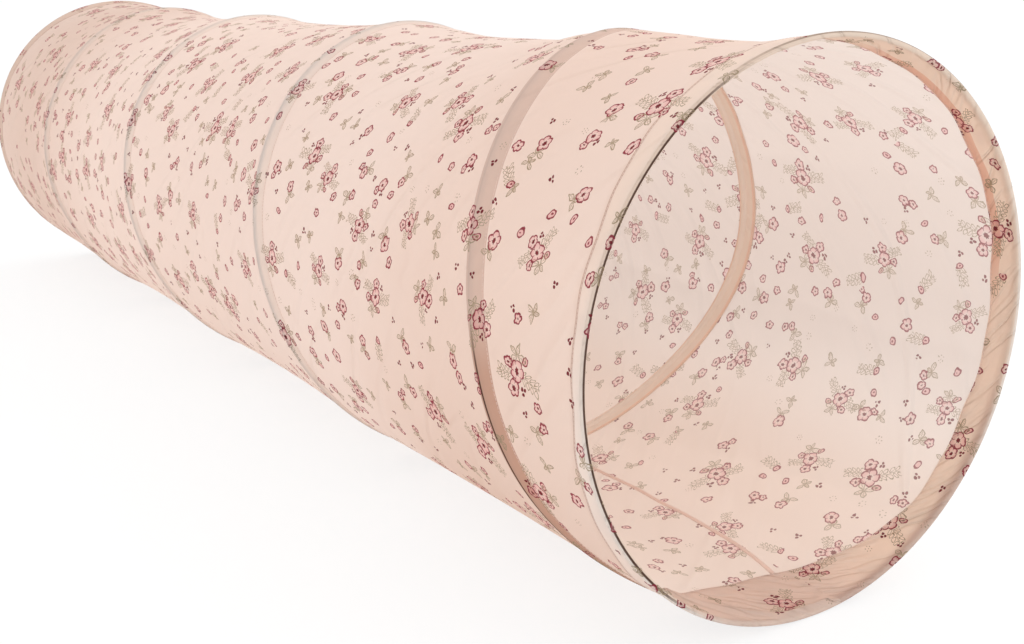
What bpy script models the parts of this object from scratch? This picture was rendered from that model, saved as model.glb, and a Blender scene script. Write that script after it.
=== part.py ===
"""Kids play tunnel: a printed cloth tube held open by a sprung wire helix.

The tunnel lies along X and stands on z = 0. Its near mouth is at +X and its far
mouth at -X. A place along the tunnel is counted from the near mouth, an angle
around it from the bottom, over the -Y side, and a depth from the outside of the
cloth towards the axis. All lengths are in metres.
"""

import math

import bmesh
import bpy
from mathutils import Matrix, Vector

# Overall sizes
tunnel_length = 1.800
ring_radius = 0.230
turn_count = 4

# The sprung turns stand a little wider and lower than the rings
turn_swell = 0.0054
turn_sag = 0.0023

# Faceting: one wound loop has this many points, and the cloth follows it
stations_per_turn = 24

# Clearance between pieces that touch on the real tunnel
seat_gap = 0.0003

# Printed shell
cloth_thickness = 0.001
waist_depth = 0.010
waist_row_shares = (0.2, 0.4, 0.6, 0.8)
section_run = 0.100
least_row_step = 0.004

# Spring wire
wire_diameter = 0.003
ring_end_gap = 0.002

# How far the first turn leans from its mouth, at each eighth of the turn
turn_leans = (0.0, 0.0270, 0.0180, 0.0276, 0.0443, 0.0464, 0.0199, 0.0207, 0.0)

# Crimp sleeve that joins the ring's two ends and the end of the helix
sleeve_wall = 0.0006
sleeve_length = 0.036
sleeve_corner = 0.0012
wire_tuck = 0.003
wire_exit = 0.002

# Hem folded in at each mouth
hem_depth = 0.040
hem_edge_width = 0.011
hem_edge_thickness = 0.002
hem_corner = 0.0006

# Casing tape that holds the helix to the shell
casing_width = 0.025
casing_thickness = 0.0006
casing_shift = 0.007
casing_margin = 0.0035
casing_flank = 0.0012

# Lengthwise seam
seam_width = 0.009
seam_thickness = 0.0012
seam_turn_share = 352.5 / 360.0
seam_gap = 0.0004

# Counts of the small round shapes
bore_sides = 16
corner_segments = 2
wire_bevel_steps = 1

# Places that follow from the sizes above
full_turn = 2.0 * math.pi
station_step = full_turn / stations_per_turn
half_step = station_step / 2.0
wire_radius = wire_diameter / 2.0
bay_length = tunnel_length / turn_count
bore_radius = wire_radius + seat_gap
sleeve_height = 2.0 * (bore_radius + sleeve_wall)
bore_spacing = 2.0 * bore_radius + sleeve_wall
sleeve_span = sleeve_height + bore_spacing
wire_depth = cloth_thickness + seat_gap + sleeve_height / 2.0
ring_place = cloth_thickness + seat_gap + sleeve_height / 2.0
helix_start = ring_place + bore_spacing
pocket_depth = cloth_thickness + sleeve_height + 2.0 * seat_gap
casing_seat_depth = cloth_thickness + seat_gap
casing_crown_depth = wire_depth + wire_radius + seat_gap
casing_crown_half = wire_radius + seat_gap + casing_flank
casing_foot_half = casing_crown_half + casing_flank
flat_half = casing_width / 2.0 + casing_margin
open_span = bay_length - 2.0 * flat_half
helix_angle_total = turn_count * full_turn
wire_exit_angle = math.atan((sleeve_length / 2.0 + wire_exit) / ring_radius)
wire_tuck_angle = math.atan((sleeve_length / 2.0 - wire_tuck) / ring_radius)
ring_end_angle = math.atan(ring_end_gap / 2.0 / ring_radius)
helix_slope = bay_length / (full_turn * ring_radius)
seam_clearance = casing_width / 2.0 + seam_width * helix_slope + 2.0 * seat_gap
seam_stop_before = seam_clearance + casing_shift
seam_stop_after = seam_clearance - casing_shift
seam_start = ring_place + wire_radius + 2.0 * seat_gap

# Colours, roughness and metallic values of the materials
looks = {
    "printed_cloth": ((0.93, 0.80, 0.76, 1.0), 0.75, 0.0),
    "hem_cloth": ((0.90, 0.72, 0.67, 1.0), 0.75, 0.0),
    "casing_tape": ((0.82, 0.52, 0.42, 1.0), 0.80, 0.0),
    "seam_tape": ((0.88, 0.66, 0.60, 1.0), 0.80, 0.0),
    "spring_wire": ((0.36, 0.34, 0.32, 1.0), 0.40, 0.9),
    "sleeve_metal": ((0.60, 0.60, 0.60, 1.0), 0.35, 0.9),
}


def clear_scene():
    """Remove every object so that the script starts from nothing."""
    for item in list(bpy.data.objects):
        bpy.data.objects.remove(item, do_unlink=True)


def make_material(name):
    """Return the named Principled material, made on first use."""
    existing = bpy.data.materials.get(name)
    if existing is not None:
        return existing
    color, roughness, metallic = looks[name]
    material = bpy.data.materials.new(name)
    material.use_nodes = True
    shader = material.node_tree.nodes["Principled BSDF"]
    shader.inputs["Base Color"].default_value = color
    shader.inputs["Roughness"].default_value = roughness
    shader.inputs["Metallic"].default_value = metallic
    material.diffuse_color = color
    return material


def make_station(name, place):
    """Add the empty that carries one body, on the tunnel's axis line."""
    station = bpy.data.objects.new(name, None)
    station.location = (tunnel_length / 2.0 - place, 0.0, 0.0)
    bpy.context.scene.collection.objects.link(station)
    return station


def add_piece(name, data, material_name, station):
    """Link one sub-part and hang it on its body's empty."""
    data.transform(Matrix.Translation(-Vector(station.location)))
    data.materials.append(make_material(material_name))
    piece = bpy.data.objects.new(name, data)
    piece.parent = station
    bpy.context.scene.collection.objects.link(piece)
    return piece


def section_half_sizes(place):
    """Half width and half height of the cloth, which leave the ring's circle smoothly."""
    nearest_mouth = min(place, tunnel_length - place)
    run = min(max(nearest_mouth / section_run, 0.0), 1.0)
    swell = run * run * (3.0 - 2.0 * run)
    half_width = ring_radius + turn_swell * swell
    half_height = ring_radius - turn_sag * swell
    return half_width, half_height


def corner_point(place, station_index, depth):
    """Corner of the faceted section; its flat sides lie at the true half sizes."""
    half_width, half_height = section_half_sizes(place)
    angle = (station_index + 0.5) * station_step
    reach_y = (half_width - depth) / math.cos(half_step)
    reach_z = (half_height - depth) / math.cos(half_step)
    return Vector((
        tunnel_length / 2.0 - place,
        -reach_y * math.sin(angle),
        half_height - reach_z * math.cos(angle),
    ))


def wall_point(place, angle, depth):
    """Point on the flat side that the angle meets, or on the corner itself."""
    station_index = math.floor(angle / station_step - 0.5)
    middle_angle = (station_index + 1.0) * station_step
    side_share = 0.5 + 0.5 * math.tan(angle - middle_angle) / math.tan(half_step)
    first = corner_point(place, station_index, depth)
    second = corner_point(place, station_index + 1, depth)
    return first.lerp(second, side_share)


def lean_at(angle):
    """How far the first turn leans away from its mouth at this angle."""
    if angle <= 0.0 or angle >= full_turn:
        return 0.0
    steps = len(turn_leans) - 1
    eighth = angle / full_turn * steps
    first = min(math.floor(eighth), steps - 1)
    share = eighth - first
    low = turn_leans[first]
    high = turn_leans[first + 1]
    low_slope = (high - turn_leans[max(first - 1, 0)]) / 2.0
    high_slope = (turn_leans[min(first + 2, steps)] - low) / 2.0
    curve = (2.0 * share - 3.0) * share * share
    straight = low + (low - high) * curve
    bend_low = share * (share - 1.0) ** 2 * low_slope
    bend_high = share * share * (share - 1.0) * high_slope
    return straight + bend_low + bend_high


def helix_place(angle):
    """Place along the tunnel of the helix wire after this much winding."""
    climb_angle = helix_angle_total - 2.0 * wire_exit_angle
    climbed = min(max(angle - wire_exit_angle, 0.0), climb_angle)
    climb_share = climbed / climb_angle
    run = tunnel_length - 2.0 * helix_start
    lean = lean_at(climbed) - lean_at(climb_angle - climbed)
    return helix_start + run * climb_share + lean


def crossings_at(angle):
    """Places where the helix crosses a lengthwise line at this angle."""
    return [helix_place(angle + turn * full_turn) for turn in range(turn_count)]


def taut_stretches(angle):
    """Stretches of the lengthwise line that a hem or the helix holds at full size."""
    stretches = [[0.0, hem_depth]]
    for crossing in crossings_at(angle):
        low = max(crossing - casing_shift - flat_half, 0.0)
        high = min(crossing - casing_shift + flat_half, tunnel_length)
        stretches.append([low, high])
    stretches.append([tunnel_length - hem_depth, tunnel_length])
    merged = [stretches[0]]
    for low, high in stretches[1:]:
        if low <= merged[-1][1] + least_row_step:
            merged[-1][1] = max(merged[-1][1], high)
        else:
            merged.append([low, high])
    return merged


def wall_profile(angle):
    """Rows of (place, waist) from mouth to mouth along one lengthwise line."""
    stretches = taut_stretches(angle)
    taut_places = [hem_depth, tunnel_length - hem_depth, *crossings_at(angle)]
    rows = []
    for index, (start, end) in enumerate(stretches):
        rows.append((start, 0.0))
        for place in sorted(taut_places):
            if rows[-1][0] + least_row_step < place < end - least_row_step:
                rows.append((place, 0.0))
        rows.append((end, 0.0))
        if index == len(stretches) - 1:
            break
        span = stretches[index + 1][0] - end
        sag = waist_depth * min(span / open_span, 1.0) ** 2
        for share in waist_row_shares:
            rows.append((end + span * share, sag * math.sin(math.pi * share) ** 2))
    return rows


def waist_at(rows, place):
    """Waist at any place of a lengthwise line, read between its rows."""
    for (low, low_waist), (high, high_waist) in zip(rows, rows[1:]):
        if low <= place <= high:
            share = (place - low) / (high - low)
            return low_waist + (high_waist - low_waist) * share
    return 0.0


def clipped_rows(rows, start, end):
    """Rows between two places, with a row made at each of the two ends."""
    inner = [row for row in rows if start + least_row_step < row[0] < end - least_row_step]
    return [(start, waist_at(rows, start)), *inner, (end, waist_at(rows, end))]


def finish_mesh(name, builder):
    """Turn a bmesh into a mesh with its faces out and its round sides smooth."""
    bmesh.ops.recalc_face_normals(builder, faces=builder.faces)
    mesh = bpy.data.meshes.new(name)
    builder.to_mesh(mesh)
    builder.free()
    mesh.shade_smooth()
    mesh.set_sharp_from_angle(angle=math.radians(40.0))
    return mesh


def stitch_columns(builder, left, right):
    """Fill the wall between two columns of (turn-wise key, vertex) with triangles."""
    left_index = 0
    right_index = 0
    while left_index < len(left) - 1 or right_index < len(right) - 1:
        left_done = left_index == len(left) - 1
        right_done = right_index == len(right) - 1
        take_left = right_done or (
            not left_done and left[left_index + 1][0] <= right[right_index + 1][0]
        )
        corner_left = left[left_index][1]
        corner_right = right[right_index][1]
        if take_left:
            left_index += 1
            builder.faces.new((corner_left, corner_right, left[left_index][1]))
        else:
            right_index += 1
            builder.faces.new((corner_left, corner_right, right[right_index][1]))


def make_shell_bay(name, start, end, station):
    """One bay of the printed cloth tube, between two planes across the tunnel."""
    builder = bmesh.new()
    outer = []
    inner = []
    for index in range(stations_per_turn):
        angle = (index + 0.5) * station_step
        rows = clipped_rows(wall_profile(angle), start, end)
        outer_column = []
        inner_column = []
        for place, waist in rows:
            key = place - bay_length * angle / full_turn
            outer_point = corner_point(place, index, waist)
            inner_point = corner_point(place, index, waist + cloth_thickness)
            outer_column.append((key, builder.verts.new(outer_point)))
            inner_column.append((key, builder.verts.new(inner_point)))
        outer.append(outer_column)
        inner.append(inner_column)
    for index in range(stations_per_turn):
        following = (index + 1) % stations_per_turn
        wrap = bay_length if following == 0 else 0.0
        for columns in (outer, inner):
            shifted = [(key - wrap, vertex) for key, vertex in columns[following]]
            stitch_columns(builder, columns[index], shifted)
        for row in (0, -1):
            builder.faces.new((
                outer[index][row][1],
                outer[following][row][1],
                inner[following][row][1],
                inner[index][row][1],
            ))
    return add_piece(name, finish_mesh(name, builder), "printed_cloth", station)


def make_swept_band(name, sections, closed, material_name, station):
    """Solid through a row of like sections, closed on itself or capped at its ends."""
    builder = bmesh.new()
    loops = [[builder.verts.new(point) for point in section] for section in sections]
    pairs = list(zip(loops, loops[1:]))
    if closed:
        pairs.append((loops[-1], loops[0]))
    else:
        builder.faces.new(loops[0])
        builder.faces.new(loops[-1])
    for first, second in pairs:
        for side in range(len(first)):
            following = (side + 1) % len(first)
            builder.faces.new((first[side], first[following], second[following], second[side]))
    bmesh.ops.triangulate(builder, faces=[face for face in builder.faces if len(face.verts) > 4])
    return add_piece(name, finish_mesh(name, builder), material_name, station)


def hem_outline():
    """Outline of the hem as (place, depth): a front wall, a pocket and a thick edge."""
    inner_face = pocket_depth + cloth_thickness
    edge_face = pocket_depth + hem_edge_thickness
    edge_start = hem_depth - hem_edge_width
    middle = edge_start / 2.0
    return (
        (0.0, hem_corner),
        (hem_corner, 0.0),
        (cloth_thickness, 0.0),
        (cloth_thickness, pocket_depth),
        (middle, pocket_depth),
        (edge_start, pocket_depth),
        (hem_depth, pocket_depth),
        (hem_depth, edge_face),
        (edge_start, edge_face),
        (edge_start - hem_edge_thickness, inner_face),
        (middle, inner_face),
        (hem_corner, inner_face),
        (0.0, inner_face - hem_corner),
    )


def turned_about(points):
    """The same points at the far mouth: half a turn about the vertical axis."""
    return [Vector((-point.x, -point.y, point.z)) for point in points]


def make_hem(name, far, station):
    """Hem of one mouth, folded around its ring wire and run back inside."""
    sections = []
    for index in range(stations_per_turn):
        section = [corner_point(place, index, depth) for place, depth in hem_outline()]
        sections.append(turned_about(section) if far else section)
    return make_swept_band(name, sections, True, "hem_cloth", station)


def make_wire(name, points, station):
    """Round wire through its points, with flat closed ends."""
    curve = bpy.data.curves.new(name, "CURVE")
    curve.dimensions = "3D"
    curve.bevel_depth = wire_radius
    curve.bevel_resolution = wire_bevel_steps
    curve.use_fill_caps = True
    spline = curve.splines.new("POLY")
    spline.points.add(len(points) - 1)
    for spline_point, point in zip(spline.points, points):
        spline_point.co = (*point, 1.0)
    print(f"{name}: least gap to itself {self_gap(points) * 1000.0:.2f} mm")
    return add_piece(name, curve, "spring_wire", station)


def self_gap(points):
    """Least clear distance between stretches of a wire that don't follow each other."""
    skipped = stations_per_turn // 4
    distances = []
    for first in range(len(points)):
        for second in range(first + skipped, len(points)):
            distances.append((points[first] - points[second]).length)
    end_to_end = (points[0] - points[-1]).length
    side_by_side = [distance for distance in distances if distance != end_to_end]
    return min(min(side_by_side) - wire_diameter, end_to_end)


def ring_points():
    """Points of the near mouth's ring, open at the bottom inside its sleeve."""
    angles = [ring_end_angle]
    angles += [(index + 0.5) * station_step for index in range(stations_per_turn)]
    angles.append(full_turn - ring_end_angle)
    return [wall_point(ring_place, angle, wire_depth) for angle in angles]


def helix_points():
    """Points of the helix, straight through the sleeve at each of its ends."""
    angles = [-wire_tuck_angle, wire_exit_angle]
    for index in range(stations_per_turn * turn_count):
        angles.append((index + 0.5) * station_step)
    angles.append(helix_angle_total - wire_exit_angle)
    angles.append(helix_angle_total + wire_tuck_angle)
    return [wall_point(helix_place(angle), angle, wire_depth) for angle in angles]


def casing_outline():
    """Outline of the casing as (offset from the wire, depth): a hat with two brims."""
    near_edge = -casing_width / 2.0 - casing_shift
    far_edge = casing_width / 2.0 - casing_shift
    seat = casing_seat_depth
    crown = casing_crown_depth
    thick = casing_thickness
    rise = (
        (near_edge, seat),
        (-casing_foot_half, seat),
        (-casing_crown_half, crown),
        (casing_crown_half, crown),
        (casing_foot_half, seat),
        (far_edge, seat),
    )
    fall = (
        (far_edge, seat + thick),
        (casing_foot_half + thick, seat + thick),
        (casing_crown_half + thick, crown + thick),
        (-casing_crown_half - thick, crown + thick),
        (-casing_foot_half - thick, seat + thick),
        (near_edge, seat + thick),
    )
    return rise + fall


def make_casing(name, station):
    """Tape sewn over the helix, from beside one sleeve to beside the other."""
    half_width = casing_width / 2.0 + casing_shift
    clear_of_sleeve = cloth_thickness + sleeve_span + 2.0 * seat_gap + half_width
    sections = []
    for index in range(stations_per_turn * turn_count):
        wire_place = helix_place((index + 0.5) * station_step)
        if not clear_of_sleeve < wire_place < tunnel_length - clear_of_sleeve:
            continue
        section = []
        for offset, depth in casing_outline():
            section.append(corner_point(wire_place + offset, index, depth))
        sections.append(section)
    return make_swept_band(name, sections, False, "casing_tape", station)


def make_seam(name, start, end, station):
    """One stretch of the lengthwise seam, on the inside of the cloth."""
    seam_angle = seam_turn_share * full_turn
    half_angle = math.atan(seam_width / 2.0 / ring_radius)
    outer_depth = cloth_thickness + seam_gap
    inner_depth = outer_depth + seam_thickness
    outline = (
        (-half_angle, outer_depth),
        (0.0, outer_depth),
        (half_angle, outer_depth),
        (half_angle, inner_depth),
        (0.0, inner_depth),
        (-half_angle, inner_depth),
    )
    sections = []
    for place, waist in clipped_rows(wall_profile(seam_angle), start, end):
        section = []
        for turn, depth in outline:
            section.append(wall_point(place, seam_angle + turn, depth + waist))
        sections.append(section)
    return make_swept_band(name, sections, False, "seam_tape", station)


def make_bore_cutter(name, place):
    """Round cutter along Y for one wire's bore through the sleeve."""
    builder = bmesh.new()
    bmesh.ops.create_cone(
        builder,
        cap_ends=True,
        segments=bore_sides,
        radius1=bore_radius,
        radius2=bore_radius,
        depth=sleeve_length * 2.0,
    )
    mesh = bpy.data.meshes.new(name)
    builder.to_mesh(mesh)
    builder.free()
    mesh.transform(Matrix.Rotation(math.pi / 2.0, 4, "X"))
    mesh.transform(Matrix.Translation((tunnel_length / 2.0 - place, 0.0, wire_depth)))
    cutter = bpy.data.objects.new(name, mesh)
    cutter.hide_render = True
    cutter.display_type = "WIRE"
    bpy.context.scene.collection.objects.link(cutter)
    return cutter


def make_sleeve(name, far, station):
    """Double-bore crimp sleeve, on the flat bottom side of its mouth."""
    middle_place = ring_place + bore_spacing / 2.0
    builder = bmesh.new()
    bmesh.ops.create_cube(builder, size=1.0)
    bmesh.ops.scale(builder, vec=(sleeve_span, sleeve_length, sleeve_height), verts=builder.verts)
    long_edges = [
        edge for edge in builder.edges
        if abs(edge.verts[0].co.y - edge.verts[1].co.y) > sleeve_length / 2.0
    ]
    bmesh.ops.bevel(
        builder,
        geom=long_edges,
        offset=sleeve_corner,
        segments=corner_segments,
        profile=0.5,
        affect="EDGES",
    )
    middle = (tunnel_length / 2.0 - middle_place, 0.0, wire_depth)
    bmesh.ops.translate(builder, vec=middle, verts=builder.verts)
    mesh = finish_mesh(name, builder)
    cutters = [
        make_bore_cutter(name + "_ring_bore", ring_place),
        make_bore_cutter(name + "_helix_bore", helix_start),
    ]
    if far:
        half_turn = Matrix.Rotation(math.pi, 4, "Z")
        mesh.transform(half_turn)
        for cutter in cutters:
            cutter.data.transform(half_turn)
    sleeve = add_piece(name, mesh, "sleeve_metal", station)
    for cutter in cutters:
        cutter.data.transform(Matrix.Translation(-Vector(station.location)))
        cutter.parent = station
        modifier = sleeve.modifiers.new(cutter.name, "BOOLEAN")
        modifier.operation = "DIFFERENCE"
        modifier.solver = "EXACT"
        modifier.object = cutter
    return sleeve


def make_shell_and_seams(stations):
    """The cloth tube in one bay for each turn, with the seam inside each bay."""
    seam_crossings = crossings_at(seam_turn_share * full_turn)
    for bay in range(turn_count):
        start = bay * bay_length + seat_gap / 2.0
        end = (bay + 1) * bay_length - seat_gap / 2.0
        if bay == 0:
            start = cloth_thickness + seat_gap
        if bay == turn_count - 1:
            end = tunnel_length - cloth_thickness - seat_gap
        make_shell_bay(f"shell_bay_{bay + 1}", start, end, stations[bay])
        seam_from = seam_start if bay == 0 else seam_crossings[bay - 1] + seam_stop_after
        seam_to = seam_crossings[bay] - seam_stop_before
        make_seam(f"seam_{bay + 1}", seam_from, seam_to, stations[bay])


def make_mouth(prefix, far, station):
    """Hem, ring wire and crimp sleeve of one mouth."""
    points = ring_points()
    if far:
        points = turned_about(points)
    make_hem(prefix + "_hem", far, station)
    make_wire(prefix + "_ring_wire", points, station)
    make_sleeve(prefix + "_crimp_sleeve", far, station)


def main():
    """Build the whole tunnel."""
    clear_scene()
    stations = [make_station("front_station", 0.0)]
    for turn in range(1, turn_count):
        stations.append(make_station(f"turn_{turn}_station", turn * bay_length))
    rear_station = make_station("rear_station", tunnel_length)
    make_shell_and_seams(stations)
    make_mouth("front", False, stations[0])
    make_mouth("rear", True, rear_station)
    make_wire("helix_wire", helix_points(), stations[0])
    make_casing("helix_casing", stations[0])


main()
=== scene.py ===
"""A pop-up crawl tunnel, dressed: printed cloth, hems, casing tape, spring wire, stitching.

A place along the tunnel is counted from the near mouth, an angle around it from the
bottom over the -Y side, and a depth from the outside of the cloth towards the axis.
"""
import logging
import math
from dataclasses import dataclass
from enum import Enum

import bmesh
import bpy
import numpy as np
from bpy.types import Material, Mesh, Node, NodeTree, Object
from bpy.types import NodeSocket as Socket
from mathutils import Matrix, Vector


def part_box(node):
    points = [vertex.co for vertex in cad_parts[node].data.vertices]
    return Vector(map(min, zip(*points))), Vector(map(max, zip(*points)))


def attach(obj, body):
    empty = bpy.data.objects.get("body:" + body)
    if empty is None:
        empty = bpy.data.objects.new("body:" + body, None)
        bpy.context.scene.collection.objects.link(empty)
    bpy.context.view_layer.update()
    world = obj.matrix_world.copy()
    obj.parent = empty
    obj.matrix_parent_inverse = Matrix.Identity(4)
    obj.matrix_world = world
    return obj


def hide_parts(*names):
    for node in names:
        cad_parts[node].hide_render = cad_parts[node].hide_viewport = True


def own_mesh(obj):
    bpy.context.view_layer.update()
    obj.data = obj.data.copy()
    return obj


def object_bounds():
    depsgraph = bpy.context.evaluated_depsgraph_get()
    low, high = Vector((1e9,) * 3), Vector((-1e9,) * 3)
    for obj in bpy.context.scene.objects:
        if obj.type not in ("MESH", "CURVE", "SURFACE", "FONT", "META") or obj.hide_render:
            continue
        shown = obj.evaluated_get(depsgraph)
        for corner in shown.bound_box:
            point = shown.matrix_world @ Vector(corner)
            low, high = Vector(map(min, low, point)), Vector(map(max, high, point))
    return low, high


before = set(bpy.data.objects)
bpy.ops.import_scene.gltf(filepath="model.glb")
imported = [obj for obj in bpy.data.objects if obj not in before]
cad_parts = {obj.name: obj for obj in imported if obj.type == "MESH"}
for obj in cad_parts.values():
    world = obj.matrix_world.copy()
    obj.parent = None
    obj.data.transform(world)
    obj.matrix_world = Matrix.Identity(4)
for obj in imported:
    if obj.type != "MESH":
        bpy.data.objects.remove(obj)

log = logging.getLogger("tunnel")
FULL_TURN = 2.0 * math.pi
CAD_LOW, CAD_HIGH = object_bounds()


class Slot(Enum):
    """Material slots of the record that the pieces take their finish from."""

    PRINTED_CLOTH = "printed_cloth"
    HEM_CLOTH = "hem_cloth"
    CASING_TAPE = "casing_tape"
    SEAM_TAPE = "seam_tape"
    SPRING_WIRE = "spring_wire"
    SLEEVE_METAL = "sleeve_metal"


class Body(Enum):
    """Moving bodies of the frame that the dressed pieces ride on."""

    FRONT = "tunnel_front"
    REAR = "tunnel_rear"


class Mouth(Enum):
    """The two open ends of the tunnel."""

    FRONT = "front"
    REAR = "rear"


def smooth_step(values: np.ndarray) -> np.ndarray:
    """Ease values from 0 to 1 with flat ends."""
    clipped = np.clip(values, 0.0, 1.0)
    return clipped * clipped * (3.0 - 2.0 * clipped)


def centred(angle: np.ndarray) -> np.ndarray:
    """Bring angles to within half a turn of zero."""
    return (angle + math.pi) % FULL_TURN - math.pi


@dataclass(frozen=True)
class TunnelForm:
    """Sizes of the tunnel and the curved wall that every piece follows."""

    length: float
    ring_radius: float
    turn_swell: float
    turn_sag: float
    turns: int = 4
    section_run: float = 0.100
    wire_radius: float = 0.0015
    ring_place: float = 0.0022
    helix_start: float = 0.0064
    exit_angle: float = 0.087
    turn_leans: tuple = (0.0, 0.0270, 0.0180, 0.0276, 0.0443, 0.0464, 0.0199, 0.0207, 0.0)
    casing_shift: float = 0.007
    hem_depth: float = 0.030
    waist_depth: float = 0.0098
    waist_sharpness: float = 0.80
    waist_growth: float = 1.5
    ridge_drop: float = 0.0010
    ridge_half: float = 0.0055
    floor_flat: float = 0.0006
    floor_share: float = 0.2
    floor_thickness: float = 0.9
    slump_out: float = 0.0048
    slump_run: float = 0.300
    slump_turn: float = 0.70
    slump_half: float = 0.42
    hang_turn: float = 0.60
    hang_half: float = 0.60
    hang_less: float = 0.55
    hem_run: float = 0.0295
    hem_low: tuple = (0.0420, 0.12, 0.50, 2.4)
    hem_top: tuple = (0.0100, 3.32, 0.50)
    hem_side: tuple = (0.0165, 1.60, 0.70)
    hem_waves: tuple = ((0.0010, 11.0, 0.6), (0.0008, 23.0, 2.1))
    drift_run: float = 0.030
    drift_spread: float = 0.045
    drift_places: tuple = (
        0.0, 0.05, 0.105, 0.165, 0.245, 0.335, 0.44, 0.54, 0.68, 0.86, 1.07, 1.33, 1.55, 1.8,
    )
    drift_drops: tuple = (0.0, 3.7, 1.5, 2.4, -2.8, 7.5, 6.5, 8.0, 3.5, 3.3, 6.0, 7.6, 2.5, 0.0)
    crease_seed: int = 7
    crease_count: int = 30
    crease_height: float = 0.00100
    crease_run: float = 0.04

    @staticmethod
    def from_frame() -> "TunnelForm":
        """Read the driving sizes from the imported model.

        Returns:
            The tunnel's form at the model's real size.
        """
        hem_low, hem_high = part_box("front_hem")
        bay_low, bay_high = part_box("shell_bay_2")
        ring_radius = (hem_high.z - hem_low.z) / 2.0
        return TunnelForm(
            length=CAD_HIGH.x - CAD_LOW.x,
            ring_radius=ring_radius,
            turn_swell=(bay_high.y - bay_low.y) / 2.0 - ring_radius,
            turn_sag=ring_radius - bay_high.z / 2.0,
        )

    @property
    def pitch(self) -> float:
        """Length of tunnel in one turn of the helix."""
        return self.length / self.turns

    @property
    def wire_depth(self) -> float:
        """Depth of the wire's centre line under the cloth's ridge."""
        return self.ring_place

    def from_mouth(self, place: np.ndarray) -> np.ndarray:
        """Distance from the nearer mouth."""
        return np.minimum(place, self.length - place)

    def half_sizes(self, place: np.ndarray) -> tuple[np.ndarray, np.ndarray]:
        """Half width and half height of the wall.

        Args:
            place: Places along the tunnel.

        Returns:
            Half widths and half heights at those places.
        """
        swell = smooth_step(self.from_mouth(place) / self.section_run)
        return self.ring_radius + self.turn_swell * swell, self.ring_radius - self.turn_sag * swell

    def lean(self, angle: np.ndarray) -> np.ndarray:
        """How far the first turn leans away from its mouth at these angles."""
        leans = np.array(self.turn_leans)
        steps = len(leans) - 1
        eighth = np.clip(angle / FULL_TURN, 0.0, 1.0) * steps
        first = np.minimum(np.floor(eighth).astype(int), steps - 1)
        share = eighth - first
        low, high = leans[first], leans[first + 1]
        low_slope = (high - leans[np.maximum(first - 1, 0)]) / 2.0
        high_slope = (leans[np.minimum(first + 2, steps)] - low) / 2.0
        straight = low + (low - high) * (2.0 * share - 3.0) * share * share
        bend = share * (share - 1.0) ** 2 * low_slope + share * share * (share - 1.0) * high_slope
        return straight + bend

    def helix_place(self, angle: np.ndarray) -> np.ndarray:
        """Place of the helix after this much winding, carried on straight past its ends.

        Args:
            angle: Winding angles, counted from the bottom of the near mouth.

        Returns:
            Places along the tunnel, which may lie outside it.
        """
        climb = self.turns * FULL_TURN - 2.0 * self.exit_angle
        wound = angle - self.exit_angle
        run = self.length - 2.0 * self.helix_start
        return self.helix_start + run * wound / climb + self.lean(wound) - self.lean(climb - wound)

    def wire_place(self, angle: np.ndarray) -> np.ndarray:
        """Place of the real wire, which runs straight in the sleeves at its ends."""
        climb = self.turns * FULL_TURN - self.exit_angle
        return self.helix_place(np.clip(angle, self.exit_angle, climb))

    def crossings(self, angle: np.ndarray) -> np.ndarray:
        """Places where the helix and its carried-on ends cross lengthwise lines.

        Args:
            angle: Angles of the lengthwise lines, within one turn.

        Returns:
            One row for each crossing, from one before the near mouth to one past the far.
        """
        return np.stack([self.helix_place(angle + k * FULL_TURN) for k in range(-1, self.turns + 1)])

    def from_wire(self, place: np.ndarray, angle: np.ndarray, shift: float = 0.0) -> np.ndarray:
        """Distance along the tunnel to the nearest crossing of the helix.

        Args:
            place: Places along the tunnel.
            angle: Angles within one turn, of the same shape.
            shift: How far the crossings are moved towards the near mouth.

        Returns:
            Distances, all zero or more.
        """
        gaps = np.abs(place - self.crossings(angle) + shift)
        return gaps.min(axis=0)

    def sag(self, place: np.ndarray, angle: np.ndarray) -> np.ndarray:
        """Depth that the cloth draws in between the wires, and falls off each wire.

        Args:
            place: Places along the tunnel.
            angle: Angles within one turn, of the same shape.

        Returns:
            Depths, all zero or more.
        """
        total = np.zeros_like(place)
        lines = self.crossings(angle)
        for left, right in zip(lines, lines[1:]):
            low = np.maximum(left, self.hem_depth)
            high = np.minimum(right, self.length - self.hem_depth)
            span = np.maximum(high - low, 1e-6)
            share = np.clip((place - low) / span, 0.0, 1.0)
            reach = np.clip(span / self.pitch, 0.0, 1.0) ** self.waist_growth
            deep = self.waist_depth * reach * self.hang(angle)
            total += np.where(high > low, deep * np.sin(math.pi * share) ** self.waist_sharpness, 0.0)
        off_wire = self.from_wire(place, angle)
        nearest = np.minimum(off_wire, np.maximum(self.from_mouth(place) - self.ring_place, 0.0))
        return total + self.ridge_drop * (1.0 - np.exp(-((nearest / self.ridge_half) ** 2)))

    def hang(self, angle: np.ndarray) -> np.ndarray:
        """Share of the waist's full depth, less where the cloth hangs low."""
        return 1.0 - self.hang_less * np.exp(-(((centred(angle) - self.hang_turn) / self.hang_half) ** 2))

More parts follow.
